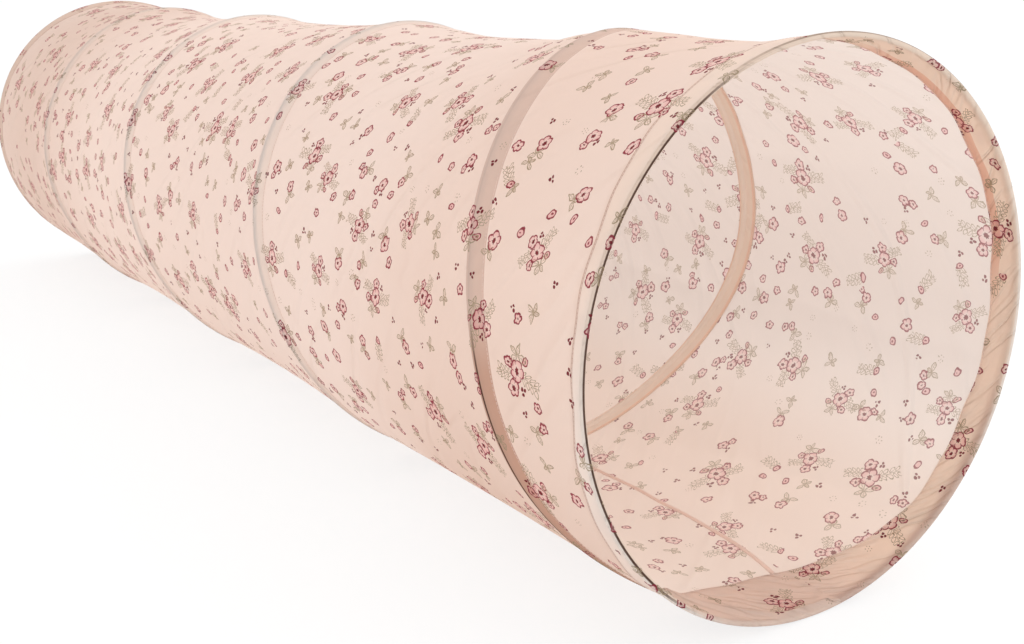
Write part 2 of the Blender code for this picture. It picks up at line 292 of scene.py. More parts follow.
    def creases(self, place: np.ndarray, angle: np.ndarray) -> np.ndarray:
        """Small soft creases of the cloth, as signed depths.

        Args:
            place: Places along the tunnel.
            angle: Angles within one turn, of the same shape.

        Returns:
            Depths to add, near zero on the wires.
        """
        draw = np.random.default_rng(self.crease_seed)
        around = self.ring_radius * angle
        total = np.zeros_like(place)
        for _ in range(self.crease_count):
            turn = draw.uniform(0.15, 0.85) * math.pi
            wave = draw.uniform(0.05, 0.16)
            reach = draw.uniform(0.08, 0.20)
            middle_place = draw.uniform(0.0, self.length)
            middle_around = draw.uniform(0.0, FULL_TURN) * self.ring_radius
            circuit = FULL_TURN * self.ring_radius
            across = (around - middle_around + circuit / 2.0) % circuit - circuit / 2.0
            along = place - middle_place
            line = across * math.cos(turn) + along * math.sin(turn)
            side = -across * math.sin(turn) + along * math.cos(turn)
            fade = np.exp(-((line / reach) ** 2) - (side / (reach / 2.0)) ** 2)
            total += fade * np.sin(FULL_TURN * side / wave + draw.uniform(0.0, FULL_TURN))
        off_wire = np.minimum(self.from_wire(place, angle), self.from_mouth(place))
        return total * self.crease_height * smooth_step(off_wire / self.crease_run)

    def wall(self, place: np.ndarray, angle: np.ndarray, depth: np.ndarray) -> np.ndarray:
        """Points at a depth under the wall's full section.

        Args:
            place: Places along the tunnel.
            angle: Angles around it.
            depth: Depths towards the axis.

        Returns:
            An array of points, with x, y and z last.
        """
        half_width, half_height = self.half_sizes(np.clip(place, 0.0, self.length))
        kept = depth
        depth = depth - self.belly(place, angle)
        rise = (1.0 - np.cos(angle)) / 2.0
        height = half_height - (half_height - depth) * np.cos(angle) + rise * self.top_drift(place)
        lowest = self.floor_flat * self.floor_share + np.maximum(kept, 0.0) * self.floor_thickness
        height = np.maximum(height, lowest)
        x = self.length / 2.0 - place
        y = -(half_width - depth) * np.sin(angle)
        return np.stack(np.broadcast_arrays(x, y, height), axis=-1)

    def belly(self, place: np.ndarray, angle: np.ndarray) -> np.ndarray:
        """How far the cloth and its wire slump out low on the near side."""
        around = np.exp(-(((centred(angle) - self.slump_turn) / self.slump_half) ** 2))
        return around * self.slump_out * smooth_step(self.from_mouth(place) / self.slump_run)

    def top_drift(self, place: np.ndarray) -> np.ndarray:
        """How much higher or lower the top of each turn stands than the plain section."""
        spread = np.linspace(-self.drift_spread, self.drift_spread, 7)
        drops = [np.interp(place + shift, self.drift_places, self.drift_drops) for shift in spread]
        return -0.001 * np.mean(drops, axis=0) * smooth_step(self.from_mouth(place) / self.drift_run)

    def cloth_depth(self, place: np.ndarray, angle: np.ndarray) -> np.ndarray:
        """Depth of the printed cloth itself, with its waists and creases."""
        return self.sag(place, angle) + self.creases(place, angle)

    def hem_edge(self, angle: np.ndarray) -> np.ndarray:
        """Place of a hem's inner edge, wider at the bottom and a little wavy.

        Args:
            angle: Angles around the mouth.

        Returns:
            Distances from the mouth's plane.
        """
        def bump(height: float, middle: float, half: float, power: float = 2.0) -> np.ndarray:
            return height * np.exp(-(np.abs(centred(angle - middle) / half) ** power))

        waves = sum(reach * np.sin(count * angle + start) for reach, count, start in self.hem_waves)
        wide = bump(*self.hem_low) + bump(*self.hem_top)
        return self.hem_run + wide - bump(*self.hem_side) + waves


class Graph:
    """Adds and links nodes in one node tree."""

    def __init__(self, tree: NodeTree) -> None:
        """Keep the tree that the nodes go into."""
        self.tree = tree

    def node(self, kind: str, **settings: object) -> Node:
        """Add a node and set its properties.

        Args:
            kind: The node's type name.
            **settings: Properties of the node, by name.

        Returns:
            The new node.
        """
        made = self.tree.nodes.new(kind)
        for name, value in settings.items():
            setattr(made, name, value)
        return made

    def feed(self, socket: Socket, value: object) -> None:
        """Link a socket to an input, or set the input's own value."""
        if isinstance(value, Socket):
            self.tree.links.new(value, socket)
        else:
            socket.default_value = value

    def made(self, kind: str, fed: dict, output: object = 0, **settings: object) -> Socket:
        """Add a node, feed its inputs and return one of its outputs.

        Args:
            kind: The node's type name.
            fed: Sockets or values, by the input's name or number.
            output: Name or number of the output.
            **settings: Properties of the node, by name.

        Returns:
            The output's socket.
        """
        node = self.node(kind, **settings)
        for label, value in fed.items():
            self.feed(node.inputs[label], value)
        return node.outputs[output]

    def math(self, operation: str, *values: object) -> Socket:
        """Return the result of a Math node fed with sockets or numbers."""
        return self.made("ShaderNodeMath", dict(enumerate(values)), operation=operation)

    def times(self, first: object, second: object) -> Socket:
        """Return a product."""
        return self.math("MULTIPLY", first, second)

    def plus(self, first: object, second: object) -> Socket:
        """Return a sum."""
        return self.math("ADD", first, second)

    def minus(self, first: object, second: object) -> Socket:
        """Return a difference."""
        return self.math("SUBTRACT", first, second)

    def rest(self, share: object) -> Socket:
        """Return what a share leaves of 1."""
        return self.math("SUBTRACT", 1.0, share)

    def absolute(self, value: object) -> Socket:
        """Return a value without its sign."""
        return self.math("ABSOLUTE", value)

    def ramp(self, value: object, rate: object, start: object) -> Socket:
        """Return a value times a rate, counted from a start."""
        return self.math("MULTIPLY_ADD", value, rate, start)

    def vector(self, operation: str, *values: object) -> Socket:
        """Return the result of a Vector Math node."""
        output = "Value" if operation == "LENGTH" else "Vector"
        return self.made("ShaderNodeVectorMath", dict(enumerate(values)), output, operation=operation)

    def scaled(self, vector: Socket, scale: object) -> Socket:
        """Return a vector times one number."""
        return self.made("ShaderNodeVectorMath", {0: vector, "Scale": scale}, "Vector", operation="SCALE")

    def ease(self, value: object, low: object, high: object) -> Socket:
        """Return 0 at low and 1 at high, with a smooth step between them."""
        fed = {"Value": value, "From Min": low, "From Max": high}
        return self.made("ShaderNodeMapRange", fed, "Result", interpolation_type="SMOOTHSTEP")

    def under(self, value: object, limit: object, soft: float) -> Socket:
        """Return 1 where a value is under a limit and 0 past it, with a soft edge."""
        return self.rest(self.ease(value, limit, self.plus(limit, soft)))

    def mix(self, share: object, first: object, second: object, blend: str = "MIX") -> Socket:
        """Return the colour between two colours.

        Args:
            share: How much of the second colour, from 0 to 1.
            first: Colour or socket.
            second: Colour or socket.
            blend: The node's blend type.

        Returns:
            The mixed colour's socket.
        """
        fed = {0: share, 6: first, 7: second}
        return self.made("ShaderNodeMix", fed, 2, data_type="RGBA", blend_type=blend)

    def split(self, vector: Socket) -> tuple[Socket, Socket, Socket]:
        """Return the three parts of a vector."""
        made = self.node("ShaderNodeSeparateXYZ")
        self.feed(made.inputs[0], vector)
        return made.outputs[0], made.outputs[1], made.outputs[2]

    def join(self, x: object, y: object) -> Socket:
        """Return a flat vector made of two numbers."""
        return self.made("ShaderNodeCombineXYZ", {0: x, 1: y})

    def turned(self, vector: Socket, angle: object) -> Socket:
        """Return a vector turned about the Z axis."""
        fed = {"Vector": vector, "Angle": angle}
        return self.made("ShaderNodeVectorRotate", fed, "Vector", rotation_type="Z_AXIS")

    def noise(
        self, vector: Socket, scale: float, detail: float, dimensions: str = "3D", output: str = "Fac"
    ) -> Socket:
        """Return a noise value from 0 to 1, or a noise colour, at a vector."""
        fed = {"Vector": vector, "Scale": scale, "Detail": detail}
        return self.made("ShaderNodeTexNoise", fed, output, noise_dimensions=dimensions)


def make_group(name: str, inputs: dict[str, tuple], outputs: dict[str, str]) -> tuple:
    """Start a shader node group.

    Args:
        name: The group's name.
        inputs: Socket type and default value, by socket name.
        outputs: Socket type, by socket name.

    Returns:
        The group, its graph, its input node and its output node.
    """
    tree = bpy.data.node_groups.new(name, "ShaderNodeTree")
    for label, (kind, value) in inputs.items():
        socket = tree.interface.new_socket(name=label, in_out="INPUT", socket_type=kind)
        if value is not None:
            socket.default_value = value
    for label, kind in outputs.items():
        tree.interface.new_socket(name=label, in_out="OUTPUT", socket_type=kind)
    graph = Graph(tree)
    return tree, graph, graph.node("NodeGroupInput"), graph.node("NodeGroupOutput")


@dataclass(frozen=True)
class InkColors:
    """Colours of the print, in linear light."""

    outline: tuple = (0.29, 0.032, 0.055, 1.0)
    petal: tuple = (0.84, 0.34, 0.37, 1.0)
    heart: tuple = (0.20, 0.015, 0.028, 1.0)
    leaf: tuple = (0.42, 0.32, 0.21, 1.0)


@dataclass
class Motif:
    """One drawn motif: how much ink covers the cloth, and the ink's colour."""

    cover: Socket
    color: Socket


@dataclass(frozen=True)
class ScatterLayer:
    """Spacing of one layer of motifs, with its own start so that layers don't line up."""

    cell: float
    scatter: float
    offset: tuple


@dataclass(frozen=True)
class Part:
    """One motif of an arrangement.

    It is moved by x and y and then turned. A flower also spins in its place. Its size
    grows by spread with the cell's own random number, and it shows where the cell's
    pick lies between the two numbers of picks.
    """

    draw: str
    size: float
    x: float = 0.0
    y: float = 0.0
    turn: float = 0.0
    spin: float = 0.0
    spread: float = 0.0
    picks: tuple = ()


@dataclass
class Scattered:
    """What a layer gives at each place of the cloth."""

    local: Socket
    pick: Socket
    size: Socket
    centre: Socket


class PrintDesign:
    """A small scattered print of made-up flowers, leaves and berries."""

    line = 0.00036
    soft = 0.00034
    posies = ScatterLayer(0.092, 0.72, (3.1, 7.7, 0.0))
    blooms = ScatterLayer(0.043, 0.82, (9.4, 1.3, 0.0))
    sprinkles = ScatterLayer(0.0265, 0.88, (5.2, 4.6, 0.0))
    wander = ((95.0, 0.0042), (420.0, 0.0011))
    bloom_off_posy = 0.034
    sprinkle_off_posy = 0.028
    sprinkle_off_bloom = 0.0150
    least_cover = 0.001
    posy_growth = (0.30, 0.78)
    posy_picks = (0.0, 0.90)
    sprig_picks = (0.76, 0.94)
    posy_parts = (
        Part("flower", 0.0088),
        Part("flower", 0.0060, 0.0125, -0.0062, spin=0.5),
        Part("flower", 0.0045, -0.0085, -0.0100, spin=0.9),
        Part("bow", 0.0120, -0.0130, 0.0020, 1.5),
        Part("sprig", 0.0210, 0.0040, 0.0070, -1.0),
        Part("sprig", 0.0180, 0.0030, -0.0090, 1.9),
        Part("bud", 0.0028, -0.0075, 0.0120),
        Part("berries", 0.0016, 0.0150, 0.0050, 0.6),
    )
    bloom_parts = (
        Part("flower", 0.0044, spin=1.0, spread=0.0032, picks=(0.0, 0.62)),
        Part("flower", 0.0040, -0.0082, 0.0052, picks=(0.18, 0.34)),
        Part("bow", 0.0088, 0.0080, 0.0050, 0.9, picks=(0.30, 0.76)),
        Part("berries", 0.0015, -0.0070, -0.0060, picks=(0.10, 0.30)),
        Part("bud", 0.0028, -0.0105),
        Part("sprig", 0.0200, -0.0090),
    )
    sprinkle_parts = (
        Part("berries", 0.0015, picks=(0.0, 0.28)),
        Part("dots", 0.0030, picks=(0.28, 0.46)),
        Part("bud", 0.0028, picks=(0.46, 0.58)),
        Part("flower", 0.0044, picks=(0.58, 0.70)),
        Part("bow", 0.0075, picks=(0.70, 0.86)),
    )

    def __init__(self, inks: InkColors) -> None:
        """Build the print's node group.

        Args:
            inks: The print's colours.
        """
        self.inks = inks
        self.tree, self.graph, source, sink = make_group(
            "scattered_print",
            {"Place": ("NodeSocketVector", None)},
            {"Ink": "NodeSocketColor", "Cover": "NodeSocketFloat"},
        )
        place = self.hand_drawn(source.outputs["Place"])
        posies = self.scatter(place, self.posies)
        blooms = self.scatter(place, self.blooms)
        sprinkles = self.scatter(place, self.sprinkles)
        clear_of_posies = self.clearance(blooms.centre, self.posies, self.bloom_off_posy)
        clear_of_both = self.graph.times(
            self.clearance(sprinkles.centre, self.posies, self.sprinkle_off_posy),
            self.clearance(sprinkles.centre, self.blooms, self.sprinkle_off_bloom),
        )
        motif = self.over(self.posy(posies), self.only(self.bloom(blooms), clear_of_posies))
        motif = self.over(motif, self.only(self.sprinkle(sprinkles), clear_of_both))
        self.graph.feed(sink.inputs["Ink"], motif.color)
        self.graph.feed(sink.inputs["Cover"], motif.cover)

    def hand_drawn(self, place: Socket) -> Socket:
        """Return places that wander a little, so that lines look drawn by hand."""
        graph = self.graph
        for scale, reach in self.wander:
            color = graph.noise(place, scale, 1.0, "2D", "Color")
            shift = graph.vector("SUBTRACT", color, (0.5, 0.5, 0.5))
            place = graph.vector("ADD", place, graph.scaled(shift, reach))
        return place

    def cells(self, place: Socket, layer: ScatterLayer) -> tuple:
        """Return a layer's moved place and the node that finds its nearest centre."""
        moved = self.graph.vector("ADD", self.graph.scaled(place, 1.0 / layer.cell), layer.offset)
        made = self.graph.node("ShaderNodeTexVoronoi", voronoi_dimensions="2D", feature="F1")
        self.graph.feed(made.inputs["Vector"], moved)
        made.inputs["Scale"].default_value = 1.0
        made.inputs["Randomness"].default_value = layer.scatter
        return moved, made

    def scatter(self, place: Socket, layer: ScatterLayer) -> Scattered:
        """Scatter one motif centre in each cell of a layer.

        Args:
            place: Places on the cloth, in metres.
            layer: The layer's spacing.

        Returns:
            The layer's local place, random numbers and centre.
        """
        graph = self.graph
        moved, made = self.cells(place, layer)
        centre = made.outputs["Position"]
        local = graph.scaled(graph.vector("SUBTRACT", moved, centre), layer.cell)
        first, second, third = graph.split(made.outputs["Color"])
        turned = graph.turned(local, graph.times(first, FULL_TURN))
        centre_place = graph.scaled(graph.vector("SUBTRACT", centre, layer.offset), layer.cell)
        return Scattered(turned, second, third, centre_place)

    def clearance(self, centre: Socket, layer: ScatterLayer, reach: float) -> Socket:
        """Return 1 for centres that stay clear of another layer's motifs."""
        _, made = self.cells(centre, layer)
        return self.graph.math("GREATER_THAN", made.outputs["Distance"], reach / layer.cell)

    def ink(self, cover: Socket, color: tuple) -> Motif:
        """Return a motif of one plain colour."""
        return Motif(cover, self.graph.mix(0.0, color, color))

    def over(self, top: Motif, bottom: Motif) -> Motif:
        """Print one motif over another, each in its own colour where it only tints."""
        graph = self.graph
        bare = graph.rest(top.cover)
        cover = graph.ramp(bottom.cover, bare, top.cover)
        share = graph.math("DIVIDE", top.cover, graph.math("MAXIMUM", cover, self.least_cover))
        return Motif(cover, graph.mix(share, bottom.color, top.color))

    def only(self, motif: Motif, gate: Socket) -> Motif:
        """Keep a motif only where a gate is 1."""
        return Motif(self.graph.times(motif.cover, gate), motif.color)

    def picked(self, pick: Socket, low: float, high: float) -> Socket:
        """Return 1 where a random number lies between two limits."""
        above = self.graph.math("GREATER_THAN", pick, low)
        below = self.graph.math("LESS_THAN", pick, high)
        return self.graph.times(above, below)

    def stroke(self, distance: Socket, width: float = 1.0) -> Socket:
        """Return the ink of a thin line along a distance of zero."""
        graph = self.graph
        return graph.under(graph.absolute(distance), self.line * width, self.soft)

    def flower(self, local: Socket, radius: object, turn: float = 0.0) -> Motif:
        """Draw a five-petal flower: pale petals, a dark outline and a darker heart.

        Args:
            local: Places counted from the flower's centre.
            radius: The flower's outer radius, as a number or a socket.
            turn: How far it is turned.

        Returns:
            The flower.
        """
        graph = self.graph
        x, y, _ = graph.split(local)
        reach = graph.math("DIVIDE", graph.vector("LENGTH", local), radius)
        angle = graph.plus(graph.math("ARCTAN2", y, x), turn)
        wave = graph.absolute(graph.math("COSINE", graph.times(angle, 2.5)))
        edge = graph.ramp(graph.math("POWER", wave, 0.55), 0.30, 0.70)
        to_edge = graph.times(graph.minus(reach, edge), radius)
        inside = graph.under(to_edge, -self.line, self.soft)
        blush = graph.ramp(graph.ease(reach, 0.30, 0.85), 0.34, 0.16)
        petals = self.ink(graph.times(inside, blush), self.inks.petal)
        notch = graph.times(graph.under(wave, 0.09, 0.10), graph.ease(reach, 0.42, 0.56))
        rim = graph.math("MAXIMUM", self.stroke(to_edge, 1.45), graph.times(notch, inside))
        ripple = graph.ramp(graph.math("SINE", graph.times(angle, 7.0)), 0.05, 0.25)
        heart = graph.under(graph.minus(reach, ripple), 0.0, 0.07)
        outlined = self.over(self.ink(rim, self.inks.outline), petals)
        return self.over(self.ink(heart, self.inks.heart), outlined)

    def leaf_line(self, local: Socket, length: float, half_width: float) -> Socket:
        """Return the ink of a pointed leaf's outline and veins, centred on its place."""
        graph = self.graph
        x, y, _ = graph.split(local)
        along = graph.math("DIVIDE", x, length / 2.0)
        belly = graph.rest(graph.times(along, along))
        up = graph.absolute(y)
        side = graph.minus(up, graph.times(belly, half_width))
        within = graph.under(graph.absolute(along), 1.0, 0.08)
        rim = graph.times(self.stroke(side, 0.8), within)
        rib = self.stroke(y, 0.35)
        step = length / 4.0
        slanted = graph.plus(graph.minus(x, up), length)
        vein = self.stroke(graph.minus(graph.math("MODULO", slanted, step), step / 2.0), 0.2)
        inner = graph.times(graph.math("MAXIMUM", rib, vein), graph.under(side, -0.0004, 0.0002))
        return graph.math("MAXIMUM", rim, graph.times(graph.times(inner, within), 0.7))

    def bow(self, local: Socket, length: float) -> Motif:
        """Draw two pairs of leaves that spread from one point like a bow."""
        graph = self.graph
        x, y, _ = graph.split(local)
        folded = graph.join(graph.absolute(x), y)
        moved = graph.vector("SUBTRACT", graph.turned(folded, -0.55), (length * 0.55, 0.0, 0.0))
        leaves = self.leaf_line(moved, length, length * 0.25)
        below = graph.vector("SUBTRACT", graph.turned(folded, 0.95), (length * 0.42, 0.0, 0.0))
        small = self.leaf_line(below, length * 0.75, length * 0.17)
        return self.ink(graph.math("MAXIMUM", leaves, small), self.inks.leaf)

    def sprig(self, local: Socket, length: float) -> Motif:
        """Draw a stem with open leaves on alternate sides."""
        graph = self.graph
        x, y, _ = graph.split(local)
        step = length / 4.0
        on_stem = graph.times(graph.math("GREATER_THAN", x, 0.0), graph.math("LESS_THAN", x, length))
        shifted = graph.plus(x, graph.times(graph.math("GREATER_THAN", y, 0.0), step * 0.5))
        along = graph.minus(graph.math("MODULO", shifted, step), step * 0.5)
        folded = graph.join(along, graph.minus(graph.absolute(y), step * 0.62))
        tx, ty, _ = graph.split(graph.turned(folded, -0.70))
        reach = graph.vector("LENGTH", graph.join(tx, graph.times(ty, 2.2)))
        leaves = self.stroke(graph.minus(reach, step * 0.58), 1.1)
        stem = graph.times(self.stroke(y, 0.5), 0.8)
        cover = graph.times(graph.math("MAXIMUM", leaves, stem), on_stem)
        return self.ink(cover, self.inks.leaf)

    def berries(self, local: Socket, radius: float) -> Motif:
        """Draw three berries close together."""
        graph = self.graph
        nearest = None
        for turn in (0.4, 2.6, 4.5):
            middle = (1.35 * radius * math.cos(turn), 1.35 * radius * math.sin(turn), 0.0)
            reach = graph.vector("LENGTH", graph.vector("SUBTRACT", local, middle))
            nearest = reach if nearest is None else graph.math("MINIMUM", nearest, reach)
        return self.ink(graph.under(nearest, radius * 0.85, self.soft), self.inks.heart)

    def dots(self, local: Socket, radius: float) -> Motif:
        """Draw a ring of fine dots round one dot."""
        graph = self.graph
        x, y, _ = graph.split(local)
        reach = graph.vector("LENGTH", local)
        sector = FULL_TURN / 6.0
        angle = graph.math("MODULO", graph.plus(graph.math("ARCTAN2", y, x), FULL_TURN), sector)
        bend = graph.times(graph.minus(angle, sector / 2.0), radius)
        spot = graph.vector("LENGTH", graph.join(bend, graph.minus(reach, radius)))
        cover = graph.under(graph.math("MINIMUM", spot, reach), 0.0004, self.soft)
        return self.ink(graph.times(cover, 0.8), self.inks.leaf)

    def bud(self, local: Socket, radius: float) -> Motif:
        """Draw a small open bud with a dot in it."""
        graph = self.graph
        reach = graph.vector("LENGTH", graph.vector("MULTIPLY", local, (1.0, 0.70, 1.0)))
        rim = self.stroke(graph.minus(reach, radius))
        spot = graph.under(reach, radius * 0.28, self.soft)
        petal = self.ink(graph.times(graph.under(reach, radius, self.soft), 0.5), self.inks.petal)
        return self.over(self.ink(graph.math("MAXIMUM", rim, spot), self.inks.outline), petal)

    def shifted(self, local: Socket, x: float, y: float, turn: float = 0.0) -> Socket:
        """Return a local place counted from another point, and turned."""
        moved = self.graph.vector("SUBTRACT", local, (x, y, 0.0))
        return self.graph.turned(moved, turn)

    def part(self, at: Scattered, part: Part) -> Motif:
        """Draw one part of an arrangement.

        Args:
            at: What the layer gives at each place.
            part: The part.

        Returns:
            The part's motif.
        """
        local = self.shifted(at.local, part.x, part.y, part.turn) if part.x or part.y else at.local
        size = self.graph.ramp(at.size, part.spread, part.size) if part.spread else part.size
        if part.draw == "flower":
            motif = self.flower(local, size, part.spin)
        else:
            draws = {"bow": self.bow, "sprig": self.sprig, "bud": self.bud}
            draws.update(berries=self.berries, dots=self.dots)
            motif = draws[part.draw](local, size)
        return self.only(motif, self.picked(at.pick, *part.picks)) if part.picks else motif

    def posy(self, at: Scattered) -> Motif:
        """Draw the largest motif: three flowers with buds, leaves, sprigs and berries."""
        graph = self.graph
        x, y, _ = graph.split(at.local)
        mirror = graph.minus(graph.times(graph.math("GREATER_THAN", at.size, 0.5), 2.0), 1.0)
        scale = graph.math("DIVIDE", 1.0, graph.ramp(at.size, *self.posy_growth))
        local = graph.scaled(graph.join(graph.times(x, mirror), y), scale)
        own = Scattered(local, at.pick, at.size, at.centre)
        first, *others = self.posy_parts
        motif = self.part(own, first)
        for part in others:
            motif = self.over(motif, self.part(own, part))
        return self.only(motif, self.picked(at.pick, *self.posy_picks))

    def bloom(self, at: Scattered) -> Motif:
        """Draw a middle-sized motif: flowers, leaves or a sprig in five arrangements."""
        flower, second, leaves, berries, bud, sprig = (self.part(at, part) for part in self.bloom_parts)
        sprig = self.only(self.over(bud, sprig), self.picked(at.pick, *self.sprig_picks))
        return self.over(self.over(flower, second), self.over(self.over(leaves, berries), sprig))

    def sprinkle(self, at: Scattered) -> Motif:
        """Draw a small motif between the others: berries, dots, a bud, a tiny flower or leaves."""
        berries, dots, bud, tiny, leaves = (self.part(at, part) for part in self.sprinkle_parts)
        return self.over(self.over(berries, dots), self.over(self.over(bud, tiny), leaves))


class SurfaceEffects:
    """Shader node groups that several finishes share."""

    def __init__(self) -> None:
        """Build the weave, the drift and the print."""
        self.weave = self.make_weave()
        self.drift = self.make_drift()
        self.print = PrintDesign(InkColors()).tree

    def make_weave(self) -> NodeTree:
        """Return a plain weave's height and thread tone over a cloth's own place."""
        tree, graph, source, sink = make_group(
            "plain_weave",
            {"Place": ("NodeSocketVector", None), "Thread Spacing": ("NodeSocketFloat", 0.0005)},
            {"Height": "NodeSocketFloat", "Tone": "NodeSocketFloat"},
        )
        rate = graph.math("DIVIDE", math.pi, source.outputs["Thread Spacing"])
        x, y, _ = graph.split(graph.scaled(source.outputs["Place"], rate))
        warp = graph.absolute(graph.math("SINE", x))
        weft = graph.absolute(graph.math("SINE", y))
        crossed = graph.times(graph.math("SINE", x), graph.math("SINE", y))
        over = graph.math("GREATER_THAN", crossed, 0.0)
        height = graph.plus(graph.times(warp, over), graph.times(weft, graph.rest(over)))
        slub = graph.noise(graph.vector("MULTIPLY", source.outputs["Place"], (1.0, 14.0, 1.0)), 180.0, 2.0)
        graph.feed(sink.inputs["Height"], height)
        graph.feed(sink.inputs["Tone"], slub)
        return tree

    def make_drift(self) -> NodeTree:
        """Return soft slow changes over a surface, for tone and for creases."""
        tree, graph, source, sink = make_group(
            "soft_drift",
            {"Place": ("NodeSocketVector", None), "Size": ("NodeSocketFloat", 0.1)},
            {"Tone": "NodeSocketFloat", "Crease": "NodeSocketFloat"},
        )
        scaled = graph.scaled(source.outputs["Place"], graph.math("DIVIDE", 1.0, source.outputs["Size"]))
        graph.feed(sink.inputs["Tone"], graph.noise(scaled, 1.0, 3.0))
        slanted = graph.turned(scaled, 0.65)
        stretched = graph.vector("MULTIPLY", slanted, (0.55, 2.6, 1.0))
        ridge = graph.absolute(graph.minus(graph.noise(stretched, 1.0, 1.5), 0.5))
        graph.feed(sink.inputs["Crease"], graph.ease(ridge, 0.0, 0.09))
        return tree


class Finish:
    """Base of the finishes: makes a material and places shared groups in it."""

    def __init__(self, name: str) -> None:
        """Start an empty material with its output node.

        Args:
            name: The material's name.
        """
        self.material = bpy.data.materials.new(name)
        self.material.use_nodes = True
        self.material.node_tree.nodes.clear()
        self.graph = Graph(self.material.node_tree)
        self.output = self.graph.node("ShaderNodeOutputMaterial")

    def group(self, tree: NodeTree, **values: object) -> Node:
        """Place a shared group and feed its inputs, whose names use _ for spaces."""
        made = self.graph.node("ShaderNodeGroup", node_tree=tree)
        for name, value in values.items():
            self.graph.feed(made.inputs[name.replace("_", " ")], value)
        return made

    def uv(self) -> Socket:
        """Return the piece's own UV map, in metres of cloth."""
        return self.graph.node("ShaderNodeUVMap", uv_map="cloth").outputs["UV"]

    def attribute(self, name: str) -> Socket:
        """Return a number that the piece's mesh carries."""
        return self.graph.node("ShaderNodeAttribute", attribute_name=name).outputs["Fac"]

    def bump(self, height: Socket, distance: float, normal: object = None) -> Socket:
        """Return the normal of a bump with this height."""
        fed = {"Distance": distance, "Height": height}
        if normal is not None:
            fed["Normal"] = normal
        return self.graph.made("ShaderNodeBump", fed, "Normal")

    def surface(self, color: Socket, roughness: float, normal: Socket, **constants: float) -> Socket:
        """Return a Principled shader with this colour, roughness and normal."""
        fed = {"Base Color": color, "Roughness": roughness, "Normal": normal}
        fed.update({name.replace("_", " "): value for name, value in constants.items()})
        return self.graph.made("ShaderNodeBsdfPrincipled", fed)

    def end(self, shader: Socket) -> None:
        """End the material with a shader."""
        self.graph.feed(self.output.inputs["Surface"], shader)

    def glow_through(self, shader: Socket, color: Socket, normal: Socket, share: object) -> None:
        """Let a share of the light through the cloth, and end the material."""
        through = self.graph.made("ShaderNodeBsdfTranslucent", {"Color": color, "Normal": normal})
        self.end(self.graph.made("ShaderNodeMixShader", {0: share, 1: shader, 2: through}))


@dataclass(frozen=True)
class ClothTones:
    """Tones of the printed cloth, in linear light, painted light and shade among them."""

    outside: tuple = (1.000, 0.880, 0.815, 1.0)
    # Painted shade on the outside: by the near mouth, low on the -Y side by it, and towards the far end.
    outside_near_shade: tuple = (0.940, 0.775, 0.688, 1.0)
    outside_low_shade: tuple = (0.845, 0.675, 0.585, 1.0)
    outside_far_shade: tuple = (0.840, 0.680, 0.600, 1.0)
    inside: tuple = (1.000, 0.895, 0.828, 1.0)
    # Painted shade inside: under the roof by the near mouth, and a pinker shade low by the floor.
    inside_high_shade: tuple = (0.865, 0.760, 0.700, 1.0)
    inside_low_shade: tuple = (0.955, 0.795, 0.700, 1.0)
    # Painted shade where the casing blocks the light through the cloth by the near mouth, and a painted
    # lighter band deeper in.
    band_near_shade: tuple = (0.64, 0.380, 0.282, 1.0)
    band_far_light: tuple = (1.0, 0.88, 0.80, 1.0)
    # Painted shade and light where the hem doubles the cloth, and painted shade at the far mouth's hem.
    hem_behind_shade: tuple = (0.90, 0.71, 0.585, 1.0)
    hem_over_light: tuple = (1.0, 0.91, 0.84, 1.0)
    hem_far_shade: tuple = (0.74, 0.55, 0.45, 1.0)
    hem: tuple = (0.98, 0.81, 0.68, 1.0)
    # Painted shade on the hem: along the bottom, beside the ring and along the turned-under strip.
    hem_low: tuple = (0.85, 0.66, 0.57, 1.0)
    hem_shade: tuple = (0.66, 0.46, 0.39, 1.0)
    hem_strip_shade: tuple = (0.89, 0.55, 0.41, 1.0)
    # Painted highlight along the fold over the ring.
    rim: tuple = (0.98, 0.88, 0.80, 1.0)
    # Dark line: painted shade along the casing's edges, and also the hem's stitch row seen from outside.
    edge_line: tuple = (0.52, 0.32, 0.25, 1.0)
    # The wire's dark line on the cloth: partly the wire's own colour seen through the cloth, partly painted
    # shade.
    wire: tuple = (0.100, 0.045, 0.030, 1.0)
    outer_line: tuple = (0.42, 0.29, 0.22, 1.0)


class ClothPlace:
    """Where a point of the tube's cloth lies, as masks that its finishes share."""

    backing_run = (0.32, 0.52)

    def __init__(self, graph: Graph, uv: Socket, form: TunnelForm) -> None:
        """Split the cloth's UV map into a run around the tunnel and one along it.

        Args:
            graph: The finish's graph.
            uv: The cloth's UV map, in metres.
            form: The tunnel's sizes.
        """
        self.graph = graph
        self.around, self.along, _ = graph.split(uv)
        self.from_mouth = graph.math("MINIMUM", self.along, graph.minus(form.length, self.along))

    def between(self, low: float, high: float, fade: float) -> Socket:
        """Return 1 between two places around the tunnel, counted from the seam in metres."""
        graph = self.graph
        rising = graph.ease(self.around, low, low + fade)
        falling = graph.rest(graph.ease(self.around, high, high + fade))
        return graph.times(rising, falling)

    def backing(self, tones: ClothTones) -> Socket:
        """Return the painted tone of cloth that the hem doubles: painted light low on the -Y side, painted
        shade further round.
        """
        share = self.graph.ease(self.around, *self.backing_run)
        return self.graph.mix(share, tones.hem_over_light, tones.hem_behind_shade)


